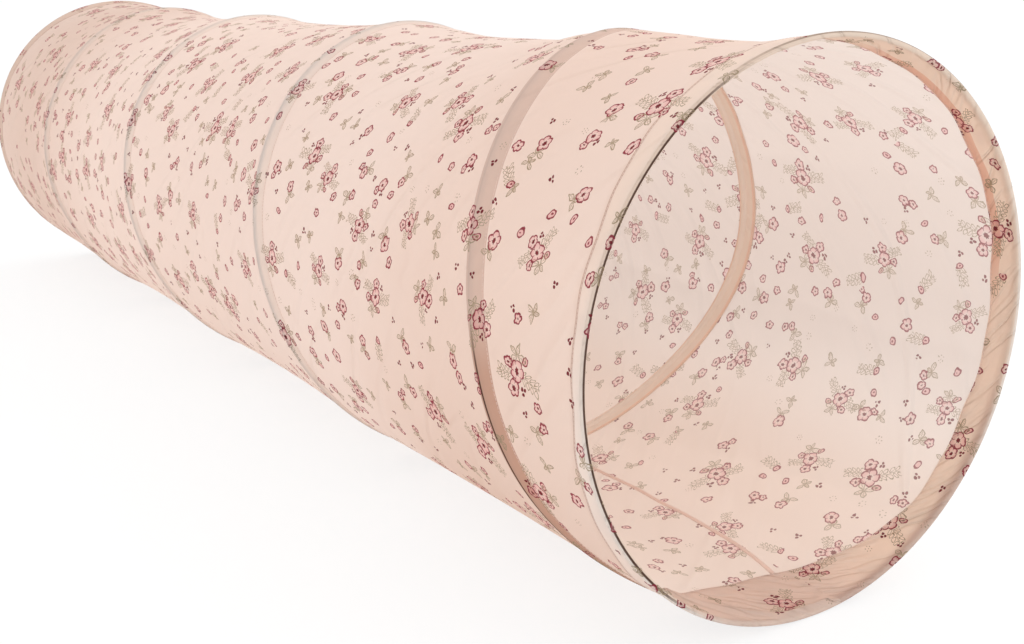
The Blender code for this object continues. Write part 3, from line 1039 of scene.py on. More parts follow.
class PrintedCloth(Finish):
    """The tube's thin printed cloth, crisp outside and pale on its reverse.

    A run is a stretch of smooth change and a side a stretch with its fade, both in
    metres. A rate scales what it follows and adds its second number.
    """

    wander_rate = (0.12, -0.06)
    near_run = (0.14, 0.46)
    beneath_run = (0.20, 0.52)
    far_run = (1.15, 1.66)
    off_floor_side = (0.20, 1.20, 0.16)
    roof_side = (0.46, 1.12, 0.16)
    roof_run = (0.60, 1.10)
    roof_rate = (-0.75, 1.0)
    reverse_run = (0.45, 1.00)
    reverse_rate = (-0.20, 0.74)
    slub_rate = (0.05, 0.965)
    print_cover = 0.96
    first_turn_run = (0.24, 0.46)
    low_side = (0.10, 0.37, 0.06)
    band_half = 0.0122
    band_light_fade = 0.0030
    band_light_rate = (-0.17, 0.25)
    hem_light = 0.34
    cloth_light = 0.54
    hem_fade = 0.0012
    sleeve_end = 0.012
    band_fade = 0.0006
    band_near_rate = (0.48, 0.46)
    band_far_share = 0.40
    band_edge_shade_half = 0.0003
    band_edge_shade_share = 0.16
    wire_half = 0.0010
    wire_fade = 0.0008
    wire_rate = (0.90, 0.05)
    backing_rate = (0.30, 0.50)
    stitch_inset = 0.0008
    stitch_half = 0.0007
    stitch_share = 0.72

    def __init__(self, effects: SurfaceEffects, tones: ClothTones, form: TunnelForm) -> None:
        """Build the material.

        Args:
            effects: The shared node groups.
            tones: The cloth's tones.
            form: The tunnel's sizes.
        """
        super().__init__("printed_cloth")
        graph = self.graph
        uv = self.uv()
        design = self.group(effects.print, Place=uv)
        weave = self.group(effects.weave, Place=uv, Thread_Spacing=0.0006)
        drift = self.group(effects.drift, Place=uv, Size=0.16)
        back = graph.node("ShaderNodeNewGeometry").outputs["Backfacing"]
        at = ClothPlace(graph, uv, form)
        # Painted shade on the outside: darker by the near mouth, darker still low on the -Y side there, and
        # darker towards the far end.
        wander = graph.ramp(drift.outputs["Tone"], *self.wander_rate)
        deep = graph.ease(graph.plus(at.along, wander), *self.near_run)
        plain = graph.mix(deep, tones.outside_near_shade, tones.outside)
        beneath = graph.rest(graph.ease(at.around, *self.beneath_run))
        beneath = graph.times(beneath, graph.rest(deep))
        plain = graph.mix(beneath, plain, tones.outside_low_shade)
        plain = graph.mix(graph.ease(at.along, *self.far_run), plain, tones.outside_far_shade)
        cloth = self.show_through_and_shade(plain, tones, at)
        # Painted shade inside: a darker, pinker tone low by the floor, and a darker roof towards the near
        # mouth.
        within = graph.mix(at.between(*self.off_floor_side), tones.inside_low_shade, tones.inside)
        high = graph.ramp(graph.ease(at.along, *self.roof_run), *self.roof_rate)
        high = graph.times(at.between(*self.roof_side), high)
        within = graph.mix(high, within, tones.inside_high_shade)
        cover = design.outputs["Cover"]
        front = graph.mix(graph.times(cover, self.print_cover), cloth, design.outputs["Ink"])
        fainter = graph.ramp(graph.ease(at.along, *self.reverse_run), *self.reverse_rate)
        reverse = graph.mix(graph.times(cover, fainter), within, design.outputs["Ink"])
        color = graph.mix(back, front, reverse)
        slub = graph.ramp(weave.outputs["Tone"], *self.slub_rate)
        color = graph.mix(1.0, color, slub, "MULTIPLY")
        crease = self.bump(drift.outputs["Crease"], 0.0016)
        normal = self.bump(weave.outputs["Height"], 0.00004, crease)
        shader = self.surface(color, 0.80, normal, Specular_IOR_Level=0.08)
        self.glow_through(shader, color, normal, self.light_share(at))

    def light_share(self, at: ClothPlace) -> Socket:
        """Return how much light the cloth lets through, less where it is backed."""
        graph = self.graph
        less_deep = graph.ramp(graph.ease(at.along, *self.first_turn_run), *self.band_light_rate)
        band = graph.under(self.attribute("off_band"), self.band_half, self.band_light_fade)
        backed = graph.times(band, less_deep)
        over_hem = graph.under(self.attribute("past_hem"), 0.0, self.hem_fade)
        less = graph.math("MAXIMUM", backed, graph.times(over_hem, self.hem_light))
        return graph.minus(self.cloth_light, less)

    def show_through_and_shade(self, cloth: Socket, tones: ClothTones, at: ClothPlace) -> Socket:
        """Paint shade and light on the cloth where casing, wire, hem or ring lie close behind it.

        Args:
            cloth: The cloth's own tone.
            tones: The painted tones of what lies behind.
            at: Where each point of the cloth lies.

        Returns:
            The toned colour.
        """
        graph = self.graph
        off_wire = self.attribute("off_wire")
        off_band = self.attribute("off_band")
        past_hem = self.attribute("past_hem")
        low = at.between(*self.low_side)
        deep = graph.ease(at.along, *self.first_turn_run)
        near = graph.rest(deep)
        past_sleeve = graph.math("GREATER_THAN", at.from_mouth, self.sleeve_end)
        # Painted shade over the casing's band by the near mouth, strongest on the low side, and a painted
        # lighter band deeper in.
        band = graph.times(graph.under(off_band, self.band_half, self.band_fade), past_sleeve)
        near_share = graph.times(graph.ramp(low, *self.band_near_rate), near)
        share = graph.ramp(deep, self.band_far_share, near_share)
        cloth = graph.mix(graph.times(band, share), cloth, graph.mix(deep, tones.band_near_shade, tones.band_far_light))
        # Painted shade: a thin dark line along the band's edges by the near mouth.
        edge = graph.absolute(graph.minus(off_band, self.band_half))
        band_edge_shade = graph.times(graph.under(edge, self.band_edge_shade_half, self.band_fade), past_sleeve)
        band_edge_shade = graph.times(band_edge_shade, near)
        cloth = graph.mix(graph.times(band_edge_shade, self.band_edge_shade_share), cloth, tones.edge_line)
        # The wire as a dark line by the near mouth: partly the wire's own colour seen through the cloth,
        # partly painted shade, strong only on the low side.
        wire = graph.under(off_wire, self.wire_half, self.wire_fade)
        wire_share = graph.times(near, graph.ramp(low, *self.wire_rate))
        cloth = graph.mix(graph.times(wire, wire_share), cloth, tones.wire)
        # Painted light and shade over the near hem, and painted shade over the far hem.
        behind = graph.under(past_hem, 0.0, self.hem_fade)
        backing = graph.mix(deep, at.backing(tones), tones.hem_far_shade)
        backed = graph.ramp(deep, *self.backing_rate)
        cloth = graph.mix(graph.times(behind, backed), cloth, backing)
        off_stitch = graph.absolute(graph.plus(past_hem, self.stitch_inset))
        stitch = graph.under(off_stitch, self.stitch_half, self.wire_fade)
        return graph.mix(graph.times(stitch, self.stitch_share), cloth, tones.edge_line)


class HemCloth(Finish):
    """The folded hem: the same print right side out, over two and three layers.

    A side is a stretch around the mouth with its fade, in metres. A line is its half
    width and its fade.
    """

    shade_rate = (0.16, 0.92)
    raised_side = (0.12, 1.36, 0.10)
    low_share = 0.85
    shade_side = (1.14, 1.42, 0.12)
    shade_line = (0.0040, 0.0120)
    shade_share = 0.65
    strip_side = (0.78, 1.06, 0.08)
    strip_line = (0.0085, 0.0006)
    strip_share = 0.85
    rim_side = (0.98, 1.20, 0.08)
    rim_line = (0.0012, 0.0010)
    rim_share = 0.8
    beside_side = (0.10, 0.66, 0.08)
    beside_share = 0.85
    rear_share = 0.7
    wire_side = (0.15, 0.60, 0.07)
    wire_line = (0.0006, 0.0007)
    wire_share = 0.96
    outer_side = (0.62, 1.40, 0.10)
    outer_line = (0.0005, 0.0008)
    outer_inset = 0.0024
    outer_share = 0.8
    print_cover = 0.95
    hem_light = 0.34

    def __init__(self, effects: SurfaceEffects, tones: ClothTones, form: TunnelForm) -> None:
        """Build the material.

        Args:
            effects: The shared node groups.
            tones: The cloth's tones.
            form: The tunnel's sizes.
        """
        super().__init__("hem_cloth")
        graph = self.graph
        uv = self.uv()
        at = ClothPlace(graph, uv, form)
        design = self.group(effects.print, Place=uv)
        weave = self.group(effects.weave, Place=uv, Thread_Spacing=0.0006)
        drift = self.group(effects.drift, Place=uv, Size=0.045)
        from_edge = self.attribute("from_edge")
        from_ring = self.attribute("from_ring")
        shade = graph.ramp(drift.outputs["Tone"], *self.shade_rate)
        # Painted shade: the hem is darker round the bottom of the mouth, and darker still beside the ring on
        # its lower +Y side.
        low = graph.rest(at.between(*self.raised_side))
        toned = graph.mix(graph.times(low, self.low_share), tones.hem, tones.hem_low)
        beside_ring = graph.times(graph.under(from_ring, *self.shade_line), at.between(*self.shade_side))
        toned = graph.mix(graph.times(beside_ring, self.shade_share), toned, tones.hem_shade)
        cloth = graph.mix(1.0, toned, shade, "MULTIPLY")
        # Painted shade: a darker, more orange strip along the hem's turned-under edge, on the upper +Y side.
        strip = graph.times(graph.under(from_edge, *self.strip_line), at.between(*self.strip_side))
        cloth = graph.mix(graph.times(strip, self.strip_share), cloth, tones.hem_strip_shade)
        # Painted highlight: a light line along the fold over the ring, on the +Y side.
        past_ring = graph.math("MAXIMUM", from_ring, 0.0)
        rim = graph.times(graph.under(past_ring, *self.rim_line), at.between(*self.rim_side))
        cloth = graph.mix(graph.times(rim, self.rim_share), cloth, tones.rim)
        # Painted light and shade on the lip's outer face on the -Y side, as over the hem on the tube.
        before_ring = graph.math("LESS_THAN", from_ring, 0.0)
        beside = graph.times(before_ring, at.between(*self.beside_side))
        cloth = graph.mix(graph.times(beside, self.beside_share), cloth, at.backing(tones))
        # Painted shade: the far mouth's hem is darker.
        rear = graph.math("LESS_THAN", at.along, -form.length / 2.0)
        cloth = graph.mix(graph.times(rear, self.rear_share), cloth, tones.hem_far_shade)
        # The ring wire as a dark line along the fold on the -Y side: partly the wire's own colour seen
        # through the cloth, partly painted shade.
        line = graph.under(graph.absolute(from_ring), *self.wire_line)
        seen = graph.times(at.between(*self.wire_side), self.wire_share)
        cloth = graph.mix(graph.times(line, seen), cloth, tones.wire)
        off_line = graph.absolute(graph.plus(from_ring, self.outer_inset))
        outer = graph.times(graph.under(off_line, *self.outer_line), at.between(*self.outer_side))
        cloth = graph.mix(graph.times(outer, self.outer_share), cloth, tones.outer_line)
        cover = graph.times(design.outputs["Cover"], self.print_cover)
        color = graph.mix(cover, cloth, design.outputs["Ink"])
        crease = self.bump(drift.outputs["Crease"], 0.0012)
        normal = self.bump(weave.outputs["Height"], 0.00004, crease)
        shader = self.surface(color, 0.78, normal, Specular_IOR_Level=0.08)
        self.glow_through(shader, color, normal, self.hem_light)


class PlainTape(Finish):
    """Plain woven tape, a little darker at its folded edges."""

    def __init__(
        self, name: str, effects: SurfaceEffects, tone: tuple, edge_tone: tuple, share: float
    ) -> None:
        """Build the material.

        Args:
            name: The material's name.
            effects: The shared node groups.
            tone: The tape's colour.
            edge_tone: The colour of its folded edges.
            share: How much light passes through.
        """
        super().__init__(name)
        graph = self.graph
        uv = self.uv()
        weave = self.group(effects.weave, Place=uv, Thread_Spacing=0.0007)
        drift = self.group(effects.drift, Place=uv, Size=0.06)
        in_edge = self.attribute("in_edge")
        color = graph.mix(graph.under(in_edge, 0.0026, 0.0030), tone, edge_tone)
        tone_step = graph.ramp(drift.outputs["Tone"], 0.10, 0.95)
        color = graph.mix(1.0, color, tone_step, "MULTIPLY")
        normal = self.bump(weave.outputs["Height"], 0.00006, self.bump(drift.outputs["Crease"], 0.0004))
        shader = self.surface(color, 0.80, normal, Specular_IOR_Level=0.10)
        self.glow_through(shader, color, normal, share)


class BareMetal(Finish):
    """Bare drawn wire or plated sheet, with fine scratches and a little dulling."""

    def __init__(
        self, name: str, effects: SurfaceEffects, tone: tuple, dull: tuple, roughness: float
    ) -> None:
        """Build the material.

        Args:
            name: The material's name.
            effects: The shared node groups.
            tone: The clean metal's colour.
            dull: The dulled metal's colour.
            roughness: The metal's roughness.
        """
        super().__init__(name)
        graph = self.graph
        place = graph.node("ShaderNodeTexCoord").outputs["Object"]
        drift = self.group(effects.drift, Place=place, Size=0.02)
        scratch = graph.noise(graph.vector("MULTIPLY", place, (4.0, 1.0, 1.0)), 900.0, 2.0)
        color = graph.mix(graph.ease(drift.outputs["Tone"], 0.4, 0.7), tone, dull)
        normal = self.bump(scratch, 0.00005)
        shader = self.surface(color, roughness, normal, Metallic=0.9)
        self.end(shader)


class Thread(Finish):
    """Sewing thread in the cloth's own tone."""

    tones = ((0.78, 0.58, 0.50, 1.0), (0.88, 0.70, 0.62, 1.0))

    def __init__(self, effects: SurfaceEffects) -> None:
        """Build the material from the shared groups."""
        super().__init__("sewing_thread")
        graph = self.graph
        place = graph.node("ShaderNodeTexCoord").outputs["Object"]
        twist = graph.noise(place, 1400.0, 1.0)
        color = graph.mix(twist, *self.tones)
        shader = self.surface(color, 0.6, self.bump(twist, 0.0001), Sheen_Weight=0.2)
        self.end(shader)


class Finishes:
    """Every finish of the tunnel, built once, with the tones of its plain materials."""

    casing_tones = ((1.0, 0.88, 0.78, 1.0), (0.99, 0.75, 0.61, 1.0))
    casing_light = 0.20
    seam_tones = ((1.0, 0.90, 0.84, 1.0), (0.97, 0.82, 0.75, 1.0))
    seam_light = 0.45
    wire_tones = ((0.20, 0.18, 0.16, 1.0), (0.11, 0.09, 0.08, 1.0))
    wire_roughness = 0.38
    sleeve_tones = ((0.62, 0.62, 0.60, 1.0), (0.42, 0.42, 0.40, 1.0))
    sleeve_roughness = 0.32

    def __init__(self, form: TunnelForm) -> None:
        """Build the materials.

        Args:
            form: The tunnel's sizes.
        """
        effects = SurfaceEffects()
        tones = ClothTones()
        made = {
            Slot.PRINTED_CLOTH: PrintedCloth(effects, tones, form),
            Slot.HEM_CLOTH: HemCloth(effects, tones, form),
            Slot.CASING_TAPE: PlainTape("casing_tape", effects, *self.casing_tones, self.casing_light),
            Slot.SEAM_TAPE: PlainTape("seam_tape", effects, *self.seam_tones, self.seam_light),
            Slot.SPRING_WIRE: BareMetal("spring_wire", effects, *self.wire_tones, self.wire_roughness),
            Slot.SLEEVE_METAL: BareMetal("sleeve_metal", effects, *self.sleeve_tones, self.sleeve_roughness),
        }
        self.by_slot = {slot: finish.material for slot, finish in made.items()}
        self.thread = Thread(effects).material


class PieceMaker:
    """Turns arrays and node trees into finished pieces on their bodies."""

    squash_joint = "collapse"
    kept_length = 0.060

    def __init__(self, form: TunnelForm, finishes: Finishes) -> None:
        """Keep the tunnel's sizes and finishes."""
        self.form = form
        self.finishes = finishes

    def sheet_mesh(self, name: str, points: np.ndarray, uv: np.ndarray, wraps: bool) -> Mesh:
        """Make a mesh from a grid of points.

        Args:
            name: The mesh's name.
            points: Grid of points, columns by rows by three.
            uv: Grid of cloth places, columns by rows by two.
            wraps: Whether the grid's columns also close on themselves, row by row.

        Returns:
            The mesh, with its UV map named cloth.
        """
        columns, rows = points.shape[:2]
        index = np.arange(columns * rows).reshape(columns, rows)
        if wraps:
            following = np.roll(index, -1, axis=0)
            quads = np.stack([index[:, :-1], following[:, :-1], following[:, 1:], index[:, 1:]], axis=-1)
        else:
            quads = np.stack([index[:-1, :-1], index[1:, :-1], index[1:, 1:], index[:-1, 1:]], axis=-1)
        quads = quads.reshape(-1, 4)
        mesh = bpy.data.meshes.new(name)
        mesh.from_pydata(points.reshape(-1, 3).tolist(), [], quads.tolist())
        layer = mesh.uv_layers.new(name="cloth")
        corner = np.zeros(len(mesh.loops), np.int32)
        mesh.loops.foreach_get("vertex_index", corner)
        layer.data.foreach_set("uv", uv.reshape(-1, 2)[corner].astype(np.float32).ravel())
        return mesh

    def add_number(self, mesh: Mesh, name: str, values: np.ndarray) -> None:
        """Give each vertex of a mesh a number that its material reads."""
        attribute = mesh.attributes.new(name, "FLOAT", "POINT")
        attribute.data.foreach_set("value", values.astype(np.float32).ravel())

    def close_doubles(self, mesh: Mesh, distance: float = 1e-6) -> None:
        """Merge the points that lie on each other, and drop what has no area."""
        builder = bmesh.new()
        builder.from_mesh(mesh)
        bmesh.ops.remove_doubles(builder, verts=builder.verts, dist=distance)
        bmesh.ops.dissolve_degenerate(builder, edges=builder.edges, dist=distance)
        loose = [vertex for vertex in builder.verts if not vertex.link_faces]
        bmesh.ops.delete(builder, geom=loose, context="VERTS")
        builder.to_mesh(mesh)
        builder.free()

    def cap_ends(self, mesh: Mesh, stations: int, sides: int) -> None:
        """Close the two cut ends of a flat band whose section runs out and back."""
        builder = bmesh.new()
        builder.from_mesh(mesh)
        builder.verts.ensure_lookup_table()
        for end in (0, stations - 1):
            ring = [builder.verts[side * stations + end] for side in range(sides)]
            for k in range(sides // 2 - 1):
                builder.faces.new((ring[k], ring[k + 1], ring[sides - 2 - k], ring[sides - 1 - k]))
        bmesh.ops.recalc_face_normals(builder, faces=builder.faces)
        builder.to_mesh(mesh)
        builder.free()

    def place(
        self,
        name: str,
        mesh: Mesh,
        mouth: Mouth,
        slot: Slot,
        stands_for: tuple = (),
        material: Material = None,
    ) -> Object:
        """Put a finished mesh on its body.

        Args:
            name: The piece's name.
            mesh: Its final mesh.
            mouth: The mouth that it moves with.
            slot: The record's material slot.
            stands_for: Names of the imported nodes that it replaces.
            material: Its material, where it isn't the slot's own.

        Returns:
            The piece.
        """
        mesh.materials.clear()
        mesh.materials.append(material or self.finishes.by_slot[slot])
        mesh.shade_smooth()
        piece = bpy.data.objects.new(name, mesh)
        bpy.context.scene.collection.objects.link(piece)
        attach(piece, Body.FRONT.value if mouth is Mouth.FRONT else Body.REAR.value)
        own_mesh(piece)
        if stands_for:
            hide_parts(*stands_for)
        log.info("%s: %d faces", name, len(mesh.polygons))
        return piece

    def far_side(self, mesh: Mesh) -> Mesh:
        """Turn a near mouth's mesh half a turn about the vertical, to the far mouth."""
        mesh.transform(Matrix.Rotation(math.pi, 4, "Z"))
        return mesh


class NodeShapes:
    """Geometry node trees for what follows a path."""

    thread_sides = 6

    def __init__(self) -> None:
        """Build the wire's and the stitching's trees."""
        self.wire = self.make_wire_tree()
        self.stitch = self.make_stitch_tree()

    def start(self, name: str, inputs: dict[str, tuple]) -> tuple:
        """Start a geometry tree with named inputs.

        Args:
            name: The tree's name.
            inputs: Socket type and default value, by socket name.

        Returns:
            The tree, its graph, its input node and the curve made of the input's edges.
        """
        tree = bpy.data.node_groups.new(name, "GeometryNodeTree")
        tree.interface.new_socket(name="Geometry", in_out="INPUT", socket_type="NodeSocketGeometry")
        for label, (kind, value) in inputs.items():
            socket = tree.interface.new_socket(name=label, in_out="INPUT", socket_type=kind)
            if value is not None:
                socket.default_value = value
        tree.interface.new_socket(name="Geometry", in_out="OUTPUT", socket_type="NodeSocketGeometry")
        graph = Graph(tree)
        source = graph.node("NodeGroupInput")
        curve = graph.made("GeometryNodeMeshToCurve", {"Mesh": source.outputs["Geometry"]}, "Curve")
        return tree, graph, source, curve

    def end(self, graph: Graph, source: Node, shape: Socket) -> None:
        """End a tree with real geometry and its material."""
        real = graph.made("GeometryNodeRealizeInstances", {"Geometry": shape}, "Geometry")
        fed = {"Geometry": real, "Material": source.outputs["Material"]}
        dressed = graph.made("GeometryNodeSetMaterial", fed, "Geometry")
        graph.feed(graph.node("NodeGroupOutput").inputs["Geometry"], dressed)

    def make_wire_tree(self) -> NodeTree:
        """Return a tree that makes a round wire along the input's edges."""
        tree, graph, source, curve = self.start("round_wire", {
            "Wire Radius": ("NodeSocketFloat", 0.0015),
            "Sides": ("NodeSocketInt", 10),
            "Material": ("NodeSocketMaterial", None),
        })
        fed = {"Radius": source.outputs["Wire Radius"], "Resolution": source.outputs["Sides"]}
        circle = graph.made("GeometryNodeCurvePrimitiveCircle", fed, "Curve", mode="RADIUS")
        fed = {"Curve": curve, "Profile Curve": circle, "Fill Caps": True}
        self.end(graph, source, graph.made("GeometryNodeCurveToMesh", fed, "Mesh"))
        return tree

    def make_stitch_tree(self) -> NodeTree:
        """Return a tree that lays stitches at a steady spacing along the input's edges."""
        tree, graph, source, curve = self.start("stitch_row", {
            "Stitch Spacing": ("NodeSocketFloat", 0.0034),
            "Stitch Length": ("NodeSocketFloat", 0.0024),
            "Thread Radius": ("NodeSocketFloat", 0.00022),
            "Material": ("NodeSocketMaterial", None),
        })
        fed = {"Curve": curve, "Length": source.outputs["Stitch Spacing"]}
        spaced = graph.made("GeometryNodeResampleCurve", fed, "Curve", mode="LENGTH")
        fed = {"Radius": source.outputs["Thread Radius"], "Depth": source.outputs["Stitch Length"]}
        fed["Vertices"] = self.thread_sides
        thread = graph.made("GeometryNodeMeshCylinder", fed, "Mesh", fill_type="NGON")
        tangent = graph.made("GeometryNodeInputTangent", {}, "Tangent")
        along = graph.made("FunctionNodeAlignEulerToVector", {"Vector": tangent}, "Rotation", axis="Z")
        fed = {"Points": spaced, "Instance": thread, "Rotation": along}
        self.end(graph, source, graph.made("GeometryNodeInstanceOnPoints", fed, "Instances"))
        return tree

    def run(
        self, name: str, tree: NodeTree, paths: list, closed: bool, **values: object
    ) -> Mesh:
        """Run a tree on paths and return the plain mesh.

        Args:
            name: The mesh's name.
            tree: The geometry tree.
            paths: Point arrays, one for each path.
            closed: Whether each path closes on itself.
            **values: The tree's inputs, whose names use _ for spaces.

        Returns:
            The mesh that the tree makes.
        """
        points = np.concatenate(paths)
        edges = []
        start = 0
        for path in paths:
            count = len(path)
            edges += [(start + k, start + k + 1) for k in range(count - 1)]
            if closed:
                edges.append((start + count - 1, start))
            start += count
        guide_mesh = bpy.data.meshes.new(name + "_guide")
        guide_mesh.from_pydata(points.tolist(), edges, [])
        guide = bpy.data.objects.new(name + "_guide", guide_mesh)
        bpy.context.scene.collection.objects.link(guide)
        modifier = guide.modifiers.new("shape", "NODES")
        modifier.node_group = tree
        for item in tree.interface.items_tree:
            label = item.name.replace(" ", "_")
            if item.in_out == "INPUT" and label in values:
                modifier[item.identifier] = values[label]
        evaluated = guide.evaluated_get(bpy.context.evaluated_depsgraph_get())
        mesh = bpy.data.meshes.new_from_object(evaluated)
        mesh.name = name
        guide.modifiers.remove(modifier)
        bpy.data.objects.remove(guide, do_unlink=True)
        return mesh


@dataclass
class ClothTube:
    """The printed tube: one sheet, joined at its lengthwise seam."""

    form: TunnelForm
    maker: PieceMaker
    columns: int = 300
    seam_angle: float = math.radians(352.5) - FULL_TURN
    fold_place: float = 0.0022
    fine_offsets: tuple = (
        0.0012, 0.0025, 0.0042, 0.0055, 0.0062, 0.0100, 0.0140, 0.0180, 0.0195, 0.0205, 0.0235,
    )
    open_rows: int = 50

    def row_shares(self) -> np.ndarray:
        """Shares of the way from one wire to the next, closest near the wires."""
        fine = np.array(self.fine_offsets) / self.form.pitch
        middle = np.linspace(fine[-1], 1.0 - fine[-1], self.open_rows + 1)[1:-1]
        return np.concatenate([[0.0], fine, middle, 1.0 - fine[::-1]])

    def build(self) -> Object:
        """Make the tube's mesh and dress it.

        Returns:
            The tube.
        """
        form = self.form
        angles = self.seam_angle + FULL_TURN * np.arange(self.columns + 1) / self.columns
        lines = form.crossings(angles)
        shares = self.row_shares()
        rows = []
        for left, right in zip(lines, lines[1:]):
            rows += [left + share * (right - left) for share in shares]
        rows.append(lines[-1])
        place = np.clip(np.stack(rows, axis=1), self.fold_place, form.length - self.fold_place)
        angle = np.broadcast_to(angles[:, None], place.shape)
        points = form.wall(place, angle, form.cloth_depth(place, angle))
        uv = np.stack([form.ring_radius * (angle - self.seam_angle), place], axis=-1)
        mesh = self.maker.sheet_mesh("printed_tube", points, uv, False)
        self.maker.add_number(mesh, "off_wire", form.from_wire(place, angle))
        self.maker.add_number(mesh, "off_band", form.from_wire(place, angle, form.casing_shift))
        near = place - form.hem_edge(angle)
        far = form.length - place - form.hem_edge(-angle)
        self.maker.add_number(mesh, "past_hem", np.minimum(near, far))
        self.maker.close_doubles(mesh)
        bays = tuple(f"shell_bay_{k + 1}" for k in range(form.turns))
        return self.maker.place("printed_tube", mesh, Mouth.FRONT, Slot.PRINTED_CLOTH, bays)


@dataclass
class Hem:
    """The cloth folded round a mouth's ring wire and sewn down inside."""

    form: TunnelForm
    maker: PieceMaker
    mouth: Mouth
    columns: int = 300
    lip_steps: int = 10
    skirt_steps: int = 22
    seat: float = 0.0011
    least_gap: float = 0.0006
    lip_start: float = 0.05
    lip_clear: float = 0.00006
    strip_width: float = 0.0085
    close_place: float = 0.0120
    step_run: float = 0.0012
    step_height: float = 0.0004
    turned_under: tuple = ((0.0004, 0.0003), (-0.0002, 0.0008), (-0.0040, 0.0009))
    pucker_seed: int = 11
    pucker_waves: tuple = (19, 29, 41, 58, 73)
    pucker_height: float = 0.00022
    pucker_low: float = 0.00012
    low_half: float = 0.7
    tape_lift: float = 0.0010
    tape_fade: float = 0.0030
    tape_turn: float = 0.20
    tape_rise: float = 0.10
    helix_lift: float = 0.0046
    helix_half: float = 0.0064
    helix_turn: float = 1.4
    helix_fall: float = 0.2
    sleeve_lift: float = 0.0040
    sleeve_place: float = 0.0062
    sleeve_half: float = 0.0055
    sleeve_turn: float = 0.085
    sleeve_fall: float = 0.035
    stitch_inset: float = 0.0012
    stitch_steps: int = 720
    thread_lift: float = 0.0006
    thread_sink: float = 0.0001

    def spot(self, place: np.ndarray, angle: np.ndarray) -> tuple[np.ndarray, np.ndarray]:
        """Place and angle in the tunnel of a spot counted from this mouth."""
        inside = np.clip(place, 0.0, None)
        if self.mouth is Mouth.FRONT:
            return inside, angle
        return self.form.length - inside, -angle

    def puckers(self, angle: np.ndarray, share: np.ndarray) -> np.ndarray:
        """Small folds across the hem where the cloth is gathered, deepest mid-hem.

        Args:
            angle: Angles around the mouth.
            share: Shares of the way from the ring to the hem's edge.

        Returns:
            Depths to add.
        """
        draw = np.random.default_rng(self.pucker_seed + len(self.mouth.value))
        total = np.zeros(np.broadcast(angle, share).shape)
        for waves in self.pucker_waves:
            reach = draw.uniform(0.5, 1.0)
            lean = draw.uniform(-2.0, 2.0)
            start = draw.uniform(0.0, FULL_TURN)
            total += reach * np.sin(waves * angle + lean * share + start)
        low = np.exp(-((centred(angle) / self.low_half) ** 2))
        height = self.pucker_height + self.pucker_low * low
        return total * height * np.sin(math.pi * np.clip(share, 0.0, 1.0))

    def over_wire(self, place: np.ndarray, angle: np.ndarray) -> np.ndarray:
        """How far the hem stands off where the helix and its casing pass under it."""
        turn = centred(angle)
        helix_end = self.helix_turn + self.helix_fall
        away = place - self.form.wire_place(np.clip(turn, 0.0, helix_end))
        off_tape = (np.abs(away + self.form.casing_shift) - Casing.half_width) / self.tape_fade
        onset = smooth_step((turn - self.tape_turn) / self.tape_rise)
        tape = self.tape_lift * (1.0 - smooth_step(off_tape)) * onset
        helix = np.maximum(self.helix_lift * np.exp(-((away / self.helix_half) ** 2)), tape)
        helix = helix * (turn > 0.0) * (1.0 - smooth_step((turn - self.helix_turn) / self.helix_fall))
        along_sleeve = 1.0 - smooth_step((np.abs(turn) - self.sleeve_turn) / self.sleeve_fall)
        off_sleeve = (place - self.sleeve_place) / self.sleeve_half
        sleeve = self.sleeve_lift * np.exp(-(off_sleeve ** 4)) * along_sleeve
        return np.maximum(helix, sleeve)

    def build(self) -> Object:
        """Make the hem's mesh and dress it.

        Returns:
            The hem.
        """
        form = self.form
        start = ClothTube.seam_angle
        angles = start + FULL_TURN * np.arange(self.columns + 1) / self.columns
        edge = form.hem_edge(angles)
        lip = np.linspace(self.lip_start, math.pi, self.lip_steps + 1)
        fold = form.ring_place
        places = [np.full_like(edge, fold - fold * np.sin(turn)) for turn in lip]
        depths = [np.full_like(edge, fold - fold * math.cos(turn) - self.lip_clear) for turn in lip]
        for step in range(1, self.skirt_steps + 1):
            share = step / self.skirt_steps
            place = fold + (edge - fold) * share
            shell = form.cloth_depth(*self.spot(place, angles)) + self.seat
            closing = 1.0 - smooth_step((place - fold) / (self.close_place - fold))
            depth = shell + (2.0 * fold - shell) * closing
            lift = self.over_wire(place, angles)
            depth = depth + self.puckers(angles, np.full_like(angles, share)) + lift
            depth = np.maximum(depth, shell - self.seat + self.least_gap + lift)
            step_down = smooth_step((place - (edge - self.strip_width)) / self.step_run)
            places.append(place)
            depths.append(depth + self.step_height * step_down)
        last = depths[-1]
        for past, rise in self.turned_under:
            places.append(edge + past)
            depths.append(last - rise)
        place = np.stack(places, axis=1)
        depth = np.stack(depths, axis=1)
        angle = np.broadcast_to(angles[:, None], place.shape)
        points = form.wall(*self.spot(place, angle), depth)
        steps = np.hypot(np.diff(place, axis=1), np.diff(depth, axis=1))
        run = np.concatenate([np.zeros((len(angles), 1)), np.cumsum(steps, axis=1)], axis=1)
        printed_at = form.ring_place - run
        if self.mouth is Mouth.REAR:
            printed_at = printed_at - form.length
        uv = np.stack([form.ring_radius * (angle - start), printed_at], axis=-1)
        name = f"{self.mouth.value}_hem_cloth"
        mesh = self.maker.sheet_mesh(name, points, uv, False)
        from_edge = np.where(np.arange(place.shape[1]) <= self.lip_steps, 1.0, edge[:, None] - place)
        self.maker.add_number(mesh, "from_edge", np.maximum(from_edge, 0.0))
        lip_middle = run[:, [self.lip_steps // 2]]
        self.maker.add_number(mesh, "from_ring", run - lip_middle)
        self.maker.close_doubles(mesh)
        mesh.flip_normals()
        stands_for = (f"{self.mouth.value}_hem",)
        return self.maker.place(name, mesh, self.mouth, Slot.HEM_CLOTH, stands_for)

